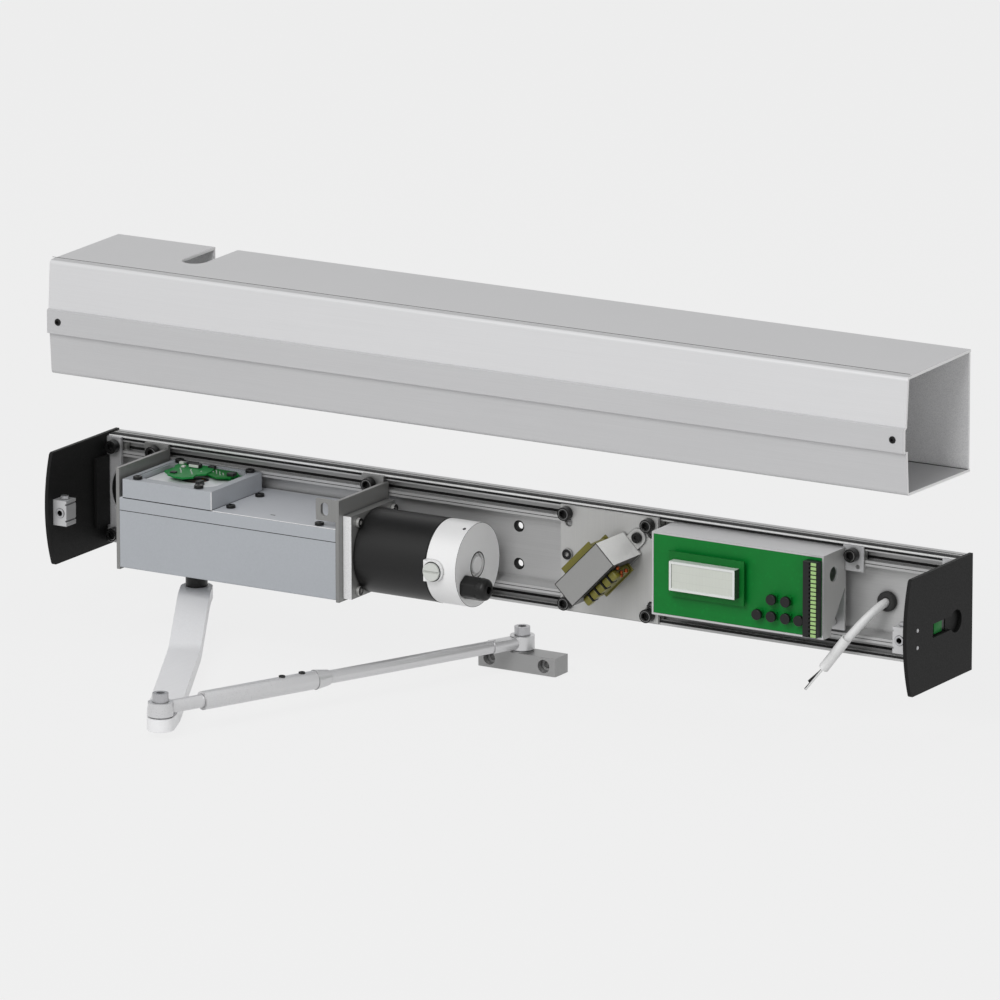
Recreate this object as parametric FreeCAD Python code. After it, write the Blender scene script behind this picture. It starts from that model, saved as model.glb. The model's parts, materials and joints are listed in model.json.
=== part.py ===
"""Automatic door operator for a swing door, with the cover lifted off.

Units are millimetres. +X runs along the rail, +Y into the wall, +Z up.
The origin is the centre of the rail's wall face.
"""
import FreeCAD, Part
import math
import os

V = FreeCAD.Vector
AXIS_X = V(1, 0, 0)
AXIS_Y = V(0, 1, 0)
AXIS_Z = V(0, 0, 1)

# Rail, an extrusion with a screw slot along each edge
RAIL_END = 365.0
RAIL_HALF_HEIGHT = 42.4
RAIL_FRONT_Y = -15.0
WEB_FRONT_Y = -4.0
SLOT_FLOOR_Y = -6.0
SLOT_LIP_Y = -11.5
SLOT_CENTRE_Z = 34.0
SLOT_HALF_MOUTH = 3.6
SLOT_HALF_WIDTH = 6.0
RAIL_INNER_Z = 26.2
RAIL_RIB_Z = 23.6
RAIL_RIB_Y = -6.2
WALL_HOLE_XS = (-290.0, -11.0, 250.0)
WALL_HOLE_Z = 14.3
WALL_HOLE_R = 2.7
WALL_SINK_R = 4.4
WALL_SINK_DEPTH = 1.4
GROMMET_X = 300.5
GROMMET_Z = -0.6
GROMMET_HOLE_R = 6.0

# End caps
CAP_THICK = 3.0
CAP_REAR_Y = -0.6
CAP_HALF_HEIGHT = 43.5
CAP_TOP_FRONT_Y = -91.6
CAP_BULGE_Y = -98.4
CAP_BULGE_Z = -4.0
CAP_LOW_FRONT_Y = -90.2
CAP_CORNER_R = 3.0
WINDOW_YS = (-59.5, -31.0)
WINDOW_ZS = (-6.4, 3.8)
WINDOW_ROUND_Y = -25.0
WINDOW_ROUND_Z = -1.6
WINDOW_ROUND_R = 8.4
BLOCK_PIN_YZ = ((-82.0, -8.6), (-82.0, 4.2))
BLOCK_PIN_R = 1.5

# Brackets that hold the caps on the rail
BRACKET_FACE_Y = -18.0
BRACKET_WIDTH = 12.5
BRACKET_HALF_HEIGHT = 41.0
BRACKET_ARC_R = 25.0
BRACKET_ARC_X = 19.5
BRACKET_LEG_THICK = 2.5
BRACKET_LEG_Y = -36.0
BRACKET_LEG_HALF_Z = 27.0
BRACKET_SCREW_X = RAIL_END - 6.8

# Blocks that take the cover screws
BLOCK_WIDTH = 12.0
BLOCK_YS = (-92.0, -79.0)
BLOCK_ZS = (-12.0, 7.5)
BLOCK_AXIS_Z = -2.2
BLOCK_AXIS_IN = 6.4
INSERT_OUT_R = 3.7
INSERT_IN_R = 2.1
INSERT_DEPTH = 9.0
BLOCK_GROOVE = 1.2
BLOCK_GROOVE_ZS = (-8.6, 4.0)
BLOCK_NUT_R = 3.4
BLOCK_NUT_HEIGHT = 2.6

# Socket head screws and their slot nuts
HEAD_R = 5.0
HEAD_HEIGHT = 6.0
HEX_R = 2.9
HEX_DEPTH = 3.4
SHANK_R = 2.95
NUT_HALF_X = 6.5
NUT_HALF_Z = 5.0
NUT_REAR_Y = -7.0
SMALL_HEAD_R = 3.5
SMALL_HEAD_HEIGHT = 2.4
SMALL_SHANK_R = 1.45
SMALL_SHANK_LENGTH = 7.0

# Gear housing
SPINDLE_X = -268.0
SPINDLE_Y = -45.0
DRIVE_Y = -45.0
DRIVE_Z = -7.5
BOX_XS = (-310.0, -120.0)
BOX_YS = (-85.0, -18.5)
BOX_ZS = (-39.0, 5.2)
BOX_REAR_Y = -5.5
BOX_REAR_XS = (-310.0, -140.0)
BOX_REAR_LOW_Z = -23.2
BOX_REAR_FLOOR = 2.2
BOX_WALL = 3.5
BOX_FLOOR = 4.0
BOX_EDGE_R = 1.2
LID_ZS = (5.2, 15.2)
LID_ROOF = 2.2
LID_SCREW_XY = ((-221.0, -70.0), (-221.0, -30.0), (-137.0, -80.0), (-137.0, -30.0))
HOUSING_XS = (-307.0, -228.5)
HOUSING_YS = (-85.0, -15.4)
HOUSING_ZS = (15.2, 29.5)
POCKET_XS = (-302.5, -236.0)
POCKET_YS = (-74.5, -19.5)
POCKET_FLOOR_Z = 17.4
POCKET_CORNER_R = 9.0
HOUSING_RIM = 1.1
HOUSING_RIM_DEPTH = 0.7
HOUSING_SCREW_XY = ((-297.0, -79.6), (-243.0, -79.6), (-299.0, -19.0), (-236.6, -19.0))
SIDE_PLATE_THICK = 3.0
LEFT_PLATE_X = BOX_XS[0] - SIDE_PLATE_THICK
LEFT_PLATE_ZS = (-40.5, 37.5)
LEFT_FLANGE_X = LEFT_PLATE_X - 18.0
LEFT_SCREW_X = LEFT_PLATE_X - 9.0
PLATE_FRONT_Y = -85.0
RIGHT_PLATE_XS = (-120.0, -117.0)
RIGHT_PLATE_ZS = (-40.5, 37.0)
RIGHT_FLANGE_X = -139.0
RIGHT_SCREW_X = -131.5
RIGHT_FLANGE_ZS = (20.0, 41.0)
FRONT_TAB_X = -137.0
FRONT_TAB_ZS = (20.5, 36.5)
FRONT_TAB_THICK = 3.0
TAB_SLOT_X = -129.5
TAB_SLOT_Z = 29.0
TAB_SLOT_R = 3.2
TAB_SLOT_HALF = 2.0

# Motor
FLANGE_XS = (-117.0, -110.0)
FLANGE_YS = (-79.0, -18.5)
FLANGE_ZS = (-38.5, 24.5)
FLANGE_SCREW_DY = 24.5
FLANGE_SCREW_DZ = 26.0
MOTOR_R = 31.5
CAN_XS = (-110.0, -48.0)
CAN_BORE_R = 29.0
MAGNET_R = 24.6
MAGNET_XS = (-104.0, -58.0)
MAGNET_CUT = 9.0
BELL_XS = (-48.0, -22.0)
BELL_BORE_R = 27.5
BELL_FACE = 6.0
BELL_HOLE_R = 9.0
BELL_HOLE_DEPTH = 2.6
BELL_HUB_R = 6.2
BRUSH_X = -40.0
BRUSH_BOSS_R = 8.0
BRUSH_PAD_X = -47.5
BRUSH_REACH = 34.6
BRUSH_CAP_R = 6.8
BRUSH_CAP_HEIGHT = 2.2
BRUSH_SLOT = 1.4
GLAND_Y = -62.0
GLAND_Z = -20.5
GLAND_HEX_R = 9.2
GLAND_HEX_END = -9.5
GLAND_NUT_R = 8.2
GLAND_NUT_END = -1.8
GLAND_MOUTH_R = 3.0
BEARING_R = 11.0
BEARING_WIDTH = 7.0
ROTOR_SHAFT_R = 4.0
ROTOR_XS = (-140.0, -29.5)
ARMATURE_R = 23.4
ARMATURE_XS = (-102.0, -62.0)
COMMUTATOR_R = 12.0
COMMUTATOR_XS = (-60.0, -40.0)
RUN_GAP = 0.05

# Reduction gear and bevel pair
GEARHEAD_R = 19.0
GEARHEAD_XS = (-222.0, -120.0)
GEARHEAD_FLANGE_R = 21.5
GEARHEAD_FLANGE = 5.0
GEARHEAD_BORE = 22.0
PINION_SHAFT_R = 5.0
PINION_SHAFT_END = -202.0
WHEEL_TEETH = 36
PINION_TEETH = 9
WHEEL_PITCH_R = 30.0
PINION_PITCH_R = WHEEL_PITCH_R * PINION_TEETH / WHEEL_TEETH
TOOTH_FACE = 9.0
ADDENDUM = 1.35
DEDENDUM = 1.85
TOOTH_SHARE = 0.36
TOOTH_TIP_SHARE = 0.6
TOOTH_ROOT_SHARE = 1.35
TOOTH_SINK = 0.5
BLANK_EDGE = 0.5
WHEEL_BACK = 3.4
WHEEL_HUB_R = 14.0
WHEEL_HUB_ZS = (-29.5, -15.5)

# Output spindle
SPINDLE_R = 7.5
SPINDLE_ZS = (-56.5, 21.4)
SPINDLE_COLLAR_R = 9.5
SPINDLE_COLLAR_ZS = (0.4, 4.4)
SPINDLE_BEARING_R = 15.0
LOW_BEARING_ZS = (-38.6, -30.6)
TOP_BEARING_ZS = (5.0, 12.8)
DISC_R = 17.0
DISC_HUB_R = 9.0
DISC_ZS = (21.4, 23.0)
DISC_START = 20.0
DISC_SWEEP = 110.0
EXTENSION_R = 8.3
EXTENSION_ZS = (-56.5, -39.4)
SENSOR_BOARD_ZS = (25.2, 26.6)
BOARD_ONE = ((-300.5, -38.0), (-300.5, -27.0), (-297.0, -22.0), (-279.0, -22.0), (-276.0, -26.0),
             (-276.0, -44.0), (-293.0, -44.0))
BOARD_TWO = ((-262.0, -35.0), (-262.0, -21.5), (-241.0, -21.5), (-241.0, -35.0))
BOARD_ONE_POSTS = ((-296.5, -27.0), (-296.5, -38.0))
BOARD_TWO_POSTS = ((-258.5, -25.0), (-244.5, -31.5))
BOARD_POST_R = 2.2

# Main arm, swept from the spindle to the elbow
ELBOW_X = -132.0
ELBOW_Y = -304.0
ARM_TOP_Z = -56.5
ARM_THICK = 9.6
ARM_HALF_WIDTH = 12.1
ARM_BEND_ONE = 13.0
ARM_SLOPE_DEG = 15.1
ARM_BEND_ONE_R = 73.0
ARM_SLOPE_RUN = 62.0
ARM_BEND_TWO_R = 54.0
ARM_TIP_R = 10.0
ARM_TAPER = 22.0
ARM_SCREW_HEAD_R = 8.0
ARM_SCREW_HEAD = 5.0
ARM_SCREW_R = 4.0
ARM_SCREW_DEPTH = 18.0
ARM_EDGE_R = 0.8

# Forearm, a tube with a rod clamped in it
EYE_R = 9.2
EYE_HEIGHT = 10.2
PIVOT_WASHER = 1.0
PIVOT_WASHER_R = 8.0
PIVOT_R = 4.0
PIVOT_HEAD_R = 5.9
PIVOT_HEAD = 6.6
PIVOT_HEX_R = 3.4
TUBE_START = 36.0
TUBE_END = 134.6
TUBE_R = 6.9
COLLAR_END = 146.4
ROD_R = 4.9
ROD_START = 60.0
ROD_END = 296.0
SLEEVE_XS = (292.7, 315.0)
SLEEVE_R = 5.9
SLEEVE_FLAT = 4.3
NECK_R = 4.9
SET_SCREW_AT = (106.0, 123.5)
SET_SCREW_R = 2.4
SET_SCREW_PROUD = 0.9

# Door shoe
SHOE_X = -5.0
SHOE_Y = -9.4
SHOE_XS = (-38.5, 28.5)
SHOE_YS = (-18.0, 0.0)
SHOE_HEIGHT = 14.0
SHOE_TOP_BOSS = 1.0
SHOE_HOLE_DX = 23.4
SHOE_HOLE_R = 2.8
SHOE_SINK_R = 5.0
SHOE_SINK_DEPTH = 5.5
SHOE_EDGE_R = 1.5

# Transformer and its plate
TPLATE_XS = (33.0, 116.0)
TPLATE_HALF_HEIGHT = 39.8
TPLATE_SCREW_XS = (38.5, 108.5)
TPLATE_SLOT_TRIM = 7.2
TCORE_X = 77.5
TCORE_Z = 1.2
TCORE_DEG = 45.5
TCORE_LONG = 49.5
TCORE_SHORT = 21.0
TCORE_YS = (-59.0, -20.0)
CORE_LIMB = 16.0
CORE_WINDOW = 8.4
CORE_YOKE = 6.5
BOBBIN_WALL = 0.9
BOBBIN_REACH = 6.4
BOBBIN_CHEEK = 1.6
BOBBIN_GAP = 0.15
WINDING_INSET = 1.1
CLAMP_THICK = 2.0
LUG_AT = 31.5
LUG_R = 6.5
EARTH_SCREW_XZ = (39.5, 3.0)

# Control unit
TRAY_XS = (128.0, 271.5)
TRAY_WALL = 1.5
TRAY_YS = (-47.5, -15.0)
TRAY_TOP_Z = 38.4
TRAY_LOW_Z = -24.0
TRAY_REAR_LOW_Z = TRAY_LOW_Z
TRAY_LIP_Y = -36.0
TRAY_SIDE_CUT_Z = 10.0
TRAY_HOLE_Y = -33.0
TRAY_HOLE_Z = 22.0
TRAY_HOLE_R = 5.6
TRAY_TAB_X = 287.0
TRAY_TAB_ZS = (21.5, 40.5)
TRAY_SCREW_X = 278.5
TRAY_PAN_XS = (150.0, 240.0)
TRAY_PAN_Z = SLOT_CENTRE_Z - 0.6
PAN_R = 3.4
PAN_HEIGHT = 3.0
TRAY_POST_R = 3.0
TRAY_POST_XZ = ((136.0, 30.0), (262.0, -18.0), (136.0, -16.0), (250.0, 30.0))
BOARD_XS = (129.6, 269.8)
BOARD_YS = (-47.4, -45.8)
BOARD_ZS = (-22.4, 36.8)
DISPLAY_BOARD_XS = (145.0, 208.0)
DISPLAY_BOARD_YS = (-52.4, -50.8)
DISPLAY_BOARD_ZS = (-6.6, 27.0)
DISPLAY_XS = (149.2, 204.2)
DISPLAY_YS = (-59.4, -52.4)
DISPLAY_ZS = (-0.6, 21.4)
DISPLAY_BEZEL = 2.0
DISPLAY_SINK = 0.6
BUTTON_XZ = ((230.5, 1.6), (242.4, 1.6), (218.6, -11.0), (230.5, -11.0), (242.4, -11.0), (253.4, -11.0))
BUTTON_R = 4.0
BUTTON_YS = (-53.4, -48.4)
SWITCH_HALF = 3.2
SWITCH_HOLE_R = 1.8
BUTTON_STEM_R = 1.75
BUTTON_STEM_END = -47.6
SWITCH_FRONT_Y = -49.4
TERMINAL_XS = (258.0, 269.6)
TERMINAL_YS = (-54.4, -47.4)
TERMINAL_ZS = (-21.6, 34.8)
TERMINAL_POLES = 18
TERMINAL_HOLE_R = 1.0
TERMINAL_HOLE_DEPTH = 1.2
SWITCH_BOARD_XS = (359.6, 361.2)
SWITCH_BOARD_YS = (-64.0, -38.0)
SWITCH_BOARD_ZS = (-16.0, 13.0)
SWITCH_POST_R = 2.0

# Mains cable
GROMMET_R = 7.4
GROMMET_YS = (-8.4, -4.0)
CABLE_R = 3.2
CABLE_SLEEVE_R = 3.9
CABLE_POINTS = ((300.5, -1.0, -0.6), (300.5, -31.0, -0.6), (262.5, -31.0, -50.0))
CABLE_SLEEVE_FROM = 0.36
CORE_R = 1.0
CORE_ENDS = ((-14.5, 0.5, -17.5), (-12.0, -1.5, -11.5))
CORE_SPREAD = 1.3

# Cover, shown lifted straight up off the rail
COVER_LIFT = 148.2
COVER_END = RAIL_END - 0.6
COVER_WALL = 2.0
COVER_REAR_HALF = 45.1
COVER_FRONT_HALF = 43.5
COVER_FRONT_Y = -93.0
COVER_LEAN_Y = -95.6
COVER_BAND_Y = -97.8
COVER_BAND_ZS = (-11.4, 6.2)
COVER_UNDER_Y = -94.4
COVER_LOW_Y = -92.2
COVER_CORNER_R = 3.2
COVER_HOLE_IN = 9.6
COVER_HOLE_R = 2.7
COVER_NOTCH_R = 9.9
COVER_NOTCH_Y = -43.0
BACK_SHEET_THICK = 2.0
BACK_SHEET_END = COVER_END - 0.4
BACK_SHEET_PLAY = 0.1


# Small shape helpers
def box(xs, ys, zs):
    """Box between two values on each axis."""
    corner = V(min(xs), min(ys), min(zs))
    return Part.makeBox(abs(xs[1] - xs[0]), abs(ys[1] - ys[0]), abs(zs[1] - zs[0]), corner)


def rod_x(radius, xs, y, z):
    """Cylinder along X."""
    return Part.makeCylinder(radius, xs[1] - xs[0], V(xs[0], y, z), AXIS_X)


def rod_y(radius, ys, x, z):
    """Cylinder along Y."""
    return Part.makeCylinder(radius, ys[1] - ys[0], V(x, ys[0], z), AXIS_Y)


def rod_z(radius, zs, x, y):
    """Cylinder along Z."""
    return Part.makeCylinder(radius, zs[1] - zs[0], V(x, y, zs[0]), AXIS_Z)


def prism(points, sweep):
    """Closed polygon swept along a vector."""
    loop = [V(*p) for p in points]
    wire = Part.makePolygon(loop + [loop[0]])
    return Part.Face(wire).extrude(sweep)


def hex_prism(radius, start, sweep):
    """Hexagon bar from a start point along a sweep, corner radius given."""
    side = AXIS_Z if abs(sweep.z) < abs(sweep.x) + abs(sweep.y) else AXIS_X
    across = sweep.cross(side)
    across.normalize()
    points = []
    for corner in range(6):
        turn = math.radians(60.0 * corner)
        point = start + side * (radius * math.cos(turn)) + across * (radius * math.sin(turn))
        points.append(tuple(point))
    return prism(points, sweep)


def slab_edges(shape, axis, low, high):
    """Straight edges along one axis whose middle lies between two corners."""
    found = []
    for edge in shape.Edges:
        along = edge.tangentAt(edge.FirstParameter)
        middle = edge.CenterOfMass
        inside = all(low[i] <= tuple(middle)[i] <= high[i] for i in range(3))
        if abs(along.dot(axis)) > 0.999 and inside:
            found.append(edge)
    return found


def socket_head(x, y, z, reach):
    """Socket head screw whose head sits on the plane y and points out to -Y."""
    head = rod_y(HEAD_R, (y - HEAD_HEIGHT, y), x, z)
    shank = rod_y(SHANK_R, (y, reach), x, z)
    key = hex_prism(HEX_R, V(x, y - HEAD_HEIGHT, z), V(0, HEX_DEPTH, 0))
    return head.fuse(shank).cut(key).removeSplitter()


# Rail and caps
def rail_half(sign):
    """Points of one half of the rail section, from the web out to the wall face."""
    top = RAIL_HALF_HEIGHT
    mouth_in = SLOT_CENTRE_Z - SLOT_HALF_MOUTH
    mouth_out = SLOT_CENTRE_Z + SLOT_HALF_MOUTH
    wide_in = SLOT_CENTRE_Z - SLOT_HALF_WIDTH
    wide_out = SLOT_CENTRE_Z + SLOT_HALF_WIDTH
    pairs = ((WEB_FRONT_Y, RAIL_RIB_Z), (RAIL_RIB_Y, RAIL_RIB_Z + 1.4), (RAIL_FRONT_Y, RAIL_INNER_Z),
             (RAIL_FRONT_Y, mouth_in), (SLOT_LIP_Y, mouth_in), (SLOT_LIP_Y, wide_in),
             (SLOT_FLOOR_Y, wide_in), (SLOT_FLOOR_Y, wide_out), (SLOT_LIP_Y, wide_out),
             (SLOT_LIP_Y, mouth_out), (RAIL_FRONT_Y, mouth_out), (RAIL_FRONT_Y, top - 1.2),
             (RAIL_FRONT_Y + 4.4, top - 1.2), (RAIL_FRONT_Y + 5.0, top - 2.0),
             (RAIL_FRONT_Y + 6.2, top - 2.0), (RAIL_FRONT_Y + 6.8, top), (0.0, top))
    return [(-RAIL_END, y, sign * z) for y, z in pairs]


def back_profile():
    """Extruded rail with wall holes and the cable hole."""
    loop = rail_half(1) + list(reversed(rail_half(-1)))
    rail = prism(loop, V(2 * RAIL_END, 0, 0))
    for x in WALL_HOLE_XS:
        for z in (-WALL_HOLE_Z, WALL_HOLE_Z):
            rail = rail.cut(rod_y(WALL_HOLE_R, (WEB_FRONT_Y - 1, 1), x, z))
            sink = Part.makeCone(WALL_SINK_R, WALL_HOLE_R, WALL_SINK_DEPTH, V(x, WEB_FRONT_Y, z), AXIS_Y)
            rail = rail.cut(sink)
    return rail.cut(rod_y(GROMMET_HOLE_R, (WEB_FRONT_Y - 1, 1), GROMMET_X, GROMMET_Z))


def cap_blank(x):
    """Plate with the bulged front outline shared by both caps."""
    rear_top = V(x, CAP_REAR_Y, CAP_HALF_HEIGHT)
    front_top = V(x, CAP_TOP_FRONT_Y, CAP_HALF_HEIGHT)
    bulge = V(x, CAP_BULGE_Y, CAP_BULGE_Z)
    front_low = V(x, CAP_LOW_FRONT_Y, -CAP_HALF_HEIGHT)
    rear_low = V(x, CAP_REAR_Y, -CAP_HALF_HEIGHT)
    edges = [Part.makeLine(rear_top, front_top), Part.Arc(front_top, bulge, front_low).toShape(),
             Part.makeLine(front_low, rear_low), Part.makeLine(rear_low, rear_top)]
    plate = Part.Face(Part.Wire(edges)).extrude(V(CAP_THICK, 0, 0))
    low = (x - 1, CAP_BULGE_Y, -CAP_HALF_HEIGHT - 1)
    high = (x + CAP_THICK + 1, CAP_LOW_FRONT_Y + 1, CAP_HALF_HEIGHT + 1)
    corners = slab_edges(plate, AXIS_X, low, high)
    plate = plate.makeFillet(CAP_CORNER_R, corners)
    for y, z in BLOCK_PIN_YZ:
        plate = plate.cut(rod_x(BLOCK_PIN_R, (x - 1, x + CAP_THICK + 1), y, z))
    return plate


def left_end_cap():
    """Plain cap on the left end of the rail."""
    return cap_blank(-RAIL_END - CAP_THICK)


def right_end_cap():
    """Cap with the keyhole window for the switch."""
    plate = cap_blank(RAIL_END)
    through = (RAIL_END - 1, RAIL_END + CAP_THICK + 1)
    plate = plate.cut(box(through, WINDOW_YS, WINDOW_ZS))
    return plate.cut(rod_x(WINDOW_ROUND_R, through, WINDOW_ROUND_Y, WINDOW_ROUND_Z))


def cap_bracket(side):
    """Lobed flange on the rail with a leg along the cap."""
    outer = side * RAIL_END
    inner = side * (RAIL_END - BRACKET_WIDTH)
    flange = box((outer, inner), (BRACKET_FACE_Y, RAIL_FRONT_Y), (-BRACKET_HALF_HEIGHT, BRACKET_HALF_HEIGHT))
    arc_x = side * (RAIL_END - BRACKET_LEG_THICK - BRACKET_ARC_R)
    flange = flange.cut(rod_y(BRACKET_ARC_R, (BRACKET_FACE_Y - 1, RAIL_FRONT_Y + 1), arc_x, 0.0))
    leg_in = side * (RAIL_END - BRACKET_LEG_THICK)
    leg = box((outer, leg_in), (BRACKET_LEG_Y, RAIL_FRONT_Y), (-BRACKET_LEG_HALF_Z, BRACKET_LEG_HALF_Z))
    shape = flange.fuse(leg)
    for z in (-SLOT_CENTRE_Z, SLOT_CENTRE_Z):
        shape = shape.cut(rod_y(SHANK_R, (BRACKET_FACE_Y - 1, RAIL_FRONT_Y + 1), side * BRACKET_SCREW_X, z))
    return shape.removeSplitter()


def cap_brackets():
    """The two brackets as separate solids."""
    return Part.makeCompound([cap_bracket(-1), cap_bracket(1)])


def cover_block(side):
    """Moulded block inside a cap, with its two pins and the insert's hole."""
    outer = side * RAIL_END
    inner = side * (RAIL_END - BLOCK_WIDTH)
    block = box((outer, inner), BLOCK_YS, BLOCK_ZS)
    axis_x = side * (RAIL_END - BLOCK_AXIS_IN)
    block = block.cut(rod_y(INSERT_OUT_R, (BLOCK_YS[0] - 1, BLOCK_YS[0] + INSERT_DEPTH), axis_x, BLOCK_AXIS_Z))
    for z in BLOCK_GROOVE_ZS:
        groove = box((inner - 1, inner + 1), BLOCK_YS, (z, z + BLOCK_GROOVE))
        block = block.cut(groove)
    for y, z in BLOCK_PIN_YZ:
        tip = side * (RAIL_END + CAP_THICK)
        pin = rod_x(BLOCK_PIN_R, (min(outer, tip), max(outer, tip)), y, z)
        block = block.fuse(pin)
    return block.removeSplitter()


def cover_blocks():
    """Both cover blocks as separate solids."""
    return Part.makeCompound([cover_block(-1), cover_block(1)])


def block_fittings():
    """Threaded inserts and locking nuts of the two blocks."""
    parts = []
    for side in (-1, 1):
        x = side * (RAIL_END - BLOCK_AXIS_IN)
        ys = (BLOCK_YS[0] - 0.6, BLOCK_YS[0] + INSERT_DEPTH)
        sleeve = rod_y(INSERT_OUT_R, ys, x, BLOCK_AXIS_Z)
        sleeve = sleeve.cut(rod_y(INSERT_IN_R, (ys[0] - 1, ys[1] + 1), x, BLOCK_AXIS_Z))
        parts.append(sleeve)
        nut_y = (BLOCK_YS[0] + BLOCK_YS[1]) / 2
        parts.append(hex_prism(BLOCK_NUT_R, V(x, nut_y, BLOCK_ZS[1]), V(0, 0, BLOCK_NUT_HEIGHT)))
    return Part.makeCompound(parts)


# Screws along the slots
def slot_screw_spots():
    """Each slot screw as x, z and the plane its head sits on."""
    plane = BRACKET_FACE_Y
    spots = []
    for z in (-SLOT_CENTRE_Z, SLOT_CENTRE_Z):
        spots.append((-BRACKET_SCREW_X, z, plane))
        spots.append((BRACKET_SCREW_X, z, plane))
        spots.append((LEFT_SCREW_X, z, plane))
        spots.append((TPLATE_SCREW_XS[0], z, plane))
        spots.append((TPLATE_SCREW_XS[1], z, plane))
    spots.append((RIGHT_SCREW_X, SLOT_CENTRE_Z, plane))
    spots.append((TRAY_SCREW_X, SLOT_CENTRE_Z, TRAY_YS[1] - TRAY_WALL))
    return spots


def slot_screws():
    """Screws that clamp everything to the rail."""
    parts = [socket_head(x, y, z, NUT_REAR_Y) for x, z, y in slot_screw_spots()]
    for x in TRAY_PAN_XS:
        face = TRAY_YS[1] - TRAY_WALL
        head = rod_y(PAN_R, (face - PAN_HEIGHT, face), x, TRAY_PAN_Z)
        parts.append(head.fuse(rod_y(SHANK_R, (face, NUT_REAR_Y), x, TRAY_PAN_Z)))
    return Part.makeCompound(parts)


def slot_nuts():
    """Sliding nuts in the rail's slots."""
    parts = []
    spots = [(x, z) for x, z, _ in slot_screw_spots()] + [(x, TRAY_PAN_Z) for x in TRAY_PAN_XS]
    for x, z in spots:
        nut = box((x - NUT_HALF_X, x + NUT_HALF_X), (SLOT_LIP_Y, NUT_REAR_Y), (z - NUT_HALF_Z, z + NUT_HALF_Z))
        parts.append(nut.cut(rod_y(SHANK_R, (SLOT_LIP_Y - 1, NUT_REAR_Y + 1), x, z)))
    return Part.makeCompound(parts)


# Gear housing
def gearbox_body():
    """Cast tub with the spindle bearing seat in its floor."""
    tub = box(BOX_XS, BOX_YS, BOX_ZS)
    rear = box(BOX_REAR_XS, (BOX_YS[1], BOX_REAR_Y), (BOX_REAR_LOW_Z, BOX_ZS[1]))
    tub = tub.fuse(rear).removeSplitter()
    low = (BOX_XS[0] - 1, BOX_YS[0] - 1, BOX_ZS[0] - 1)
    high = (BOX_XS[1] + 1, BOX_YS[0] + 1, BOX_ZS[0] + 1)
    tub = tub.makeFillet(BOX_EDGE_R, slab_edges(tub, AXIS_X, low, high))
    hollow_xs = (BOX_XS[0] + BOX_WALL, BOX_XS[1] - BOX_WALL)
    hollow = box(hollow_xs, (BOX_YS[0] + BOX_WALL, BOX_YS[1] - BOX_WALL), (BOX_ZS[0] + BOX_FLOOR, BOX_ZS[1] + 1))
    rear_xs = (BOX_REAR_XS[0] + BOX_WALL, BOX_REAR_XS[1] - BOX_WALL)
    rear_ys = (BOX_YS[1] - BOX_WALL - 1, BOX_REAR_Y - BOX_WALL)
    nook = box(rear_xs, rear_ys, (BOX_REAR_LOW_Z + BOX_REAR_FLOOR, BOX_ZS[1] + 1))
    tub = tub.cut(hollow).cut(nook)
    seat_zs = (BOX_ZS[0] + 0.4, LOW_BEARING_ZS[1])
    seat = rod_z(SPINDLE_BEARING_R + BOX_WALL, (BOX_ZS[0] + 1, LOW_BEARING_ZS[1]), SPINDLE_X, SPINDLE_Y)
    tub = tub.fuse(seat).cut(rod_z(SPINDLE_BEARING_R, (seat_zs[0], seat_zs[1] + 1), SPINDLE_X, SPINDLE_Y))
    tub = tub.cut(rod_z(EXTENSION_R + 1.0, (BOX_ZS[0] - 1, BOX_ZS[0] + 1), SPINDLE_X, SPINDLE_Y))
    port = rod_x(GEARHEAD_R, (hollow_xs[1] - 1, BOX_XS[1] + 1), DRIVE_Y, DRIVE_Z)
    return tub.cut(port).removeSplitter()


def gearbox_lid():
    """Lid with a shallow hollow and the upper bearing seat."""
    lid = box(BOX_XS, BOX_YS, LID_ZS)
    lid = lid.fuse(box(BOX_REAR_XS, (BOX_YS[1], BOX_REAR_Y), LID_ZS)).removeSplitter()
    low = (BOX_XS[0] - 1, BOX_YS[0] - 1, LID_ZS[1] - 1)
    high = (BOX_XS[1] + 1, BOX_YS[0] + 1, LID_ZS[1] + 1)
    lid = lid.makeFillet(BOX_EDGE_R, slab_edges(lid, AXIS_X, low, high))
    hollow_xs = (BOX_XS[0] + BOX_WALL, BOX_XS[1] - BOX_WALL)
    roof = LID_ZS[1] - LID_ROOF
    lid = lid.cut(box(hollow_xs, (BOX_YS[0] + BOX_WALL, BOX_YS[1] - BOX_WALL), (LID_ZS[0] - 1, roof)))
    seat = rod_z(SPINDLE_BEARING_R + BOX_WALL, (LID_ZS[0], roof), SPINDLE_X, SPINDLE_Y)
    lid = lid.fuse(seat)
    for x, y in LID_SCREW_XY:
        lid = lid.fuse(rod_z(SMALL_HEAD_R, (LID_ZS[0], roof), x, y))
    lid = lid.cut(rod_z(SPINDLE_BEARING_R, (LID_ZS[0] - 1, TOP_BEARING_ZS[1]), SPINDLE_X, SPINDLE_Y))
    lid = lid.cut(rod_z(SPINDLE_R + 0.6, (LID_ZS[0] - 1, LID_ZS[1] + 1), SPINDLE_X, SPINDLE_Y))
    lid = lid.cut(rod_x(GEARHEAD_R + 0.3, (GEARHEAD_XS[0] - 2.0, hollow_xs[1] - 1), DRIVE_Y, DRIVE_Z))
    lid = lid.cut(rod_x(GEARHEAD_R, (hollow_xs[1] - 2, BOX_XS[1] + 1), DRIVE_Y, DRIVE_Z))
    for x, y in LID_SCREW_XY:
        lid = lid.cut(rod_z(SMALL_SHANK_R, (LID_ZS[1] - SMALL_SHANK_LENGTH, LID_ZS[1] + 1), x, y))
    return lid.removeSplitter()


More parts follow.
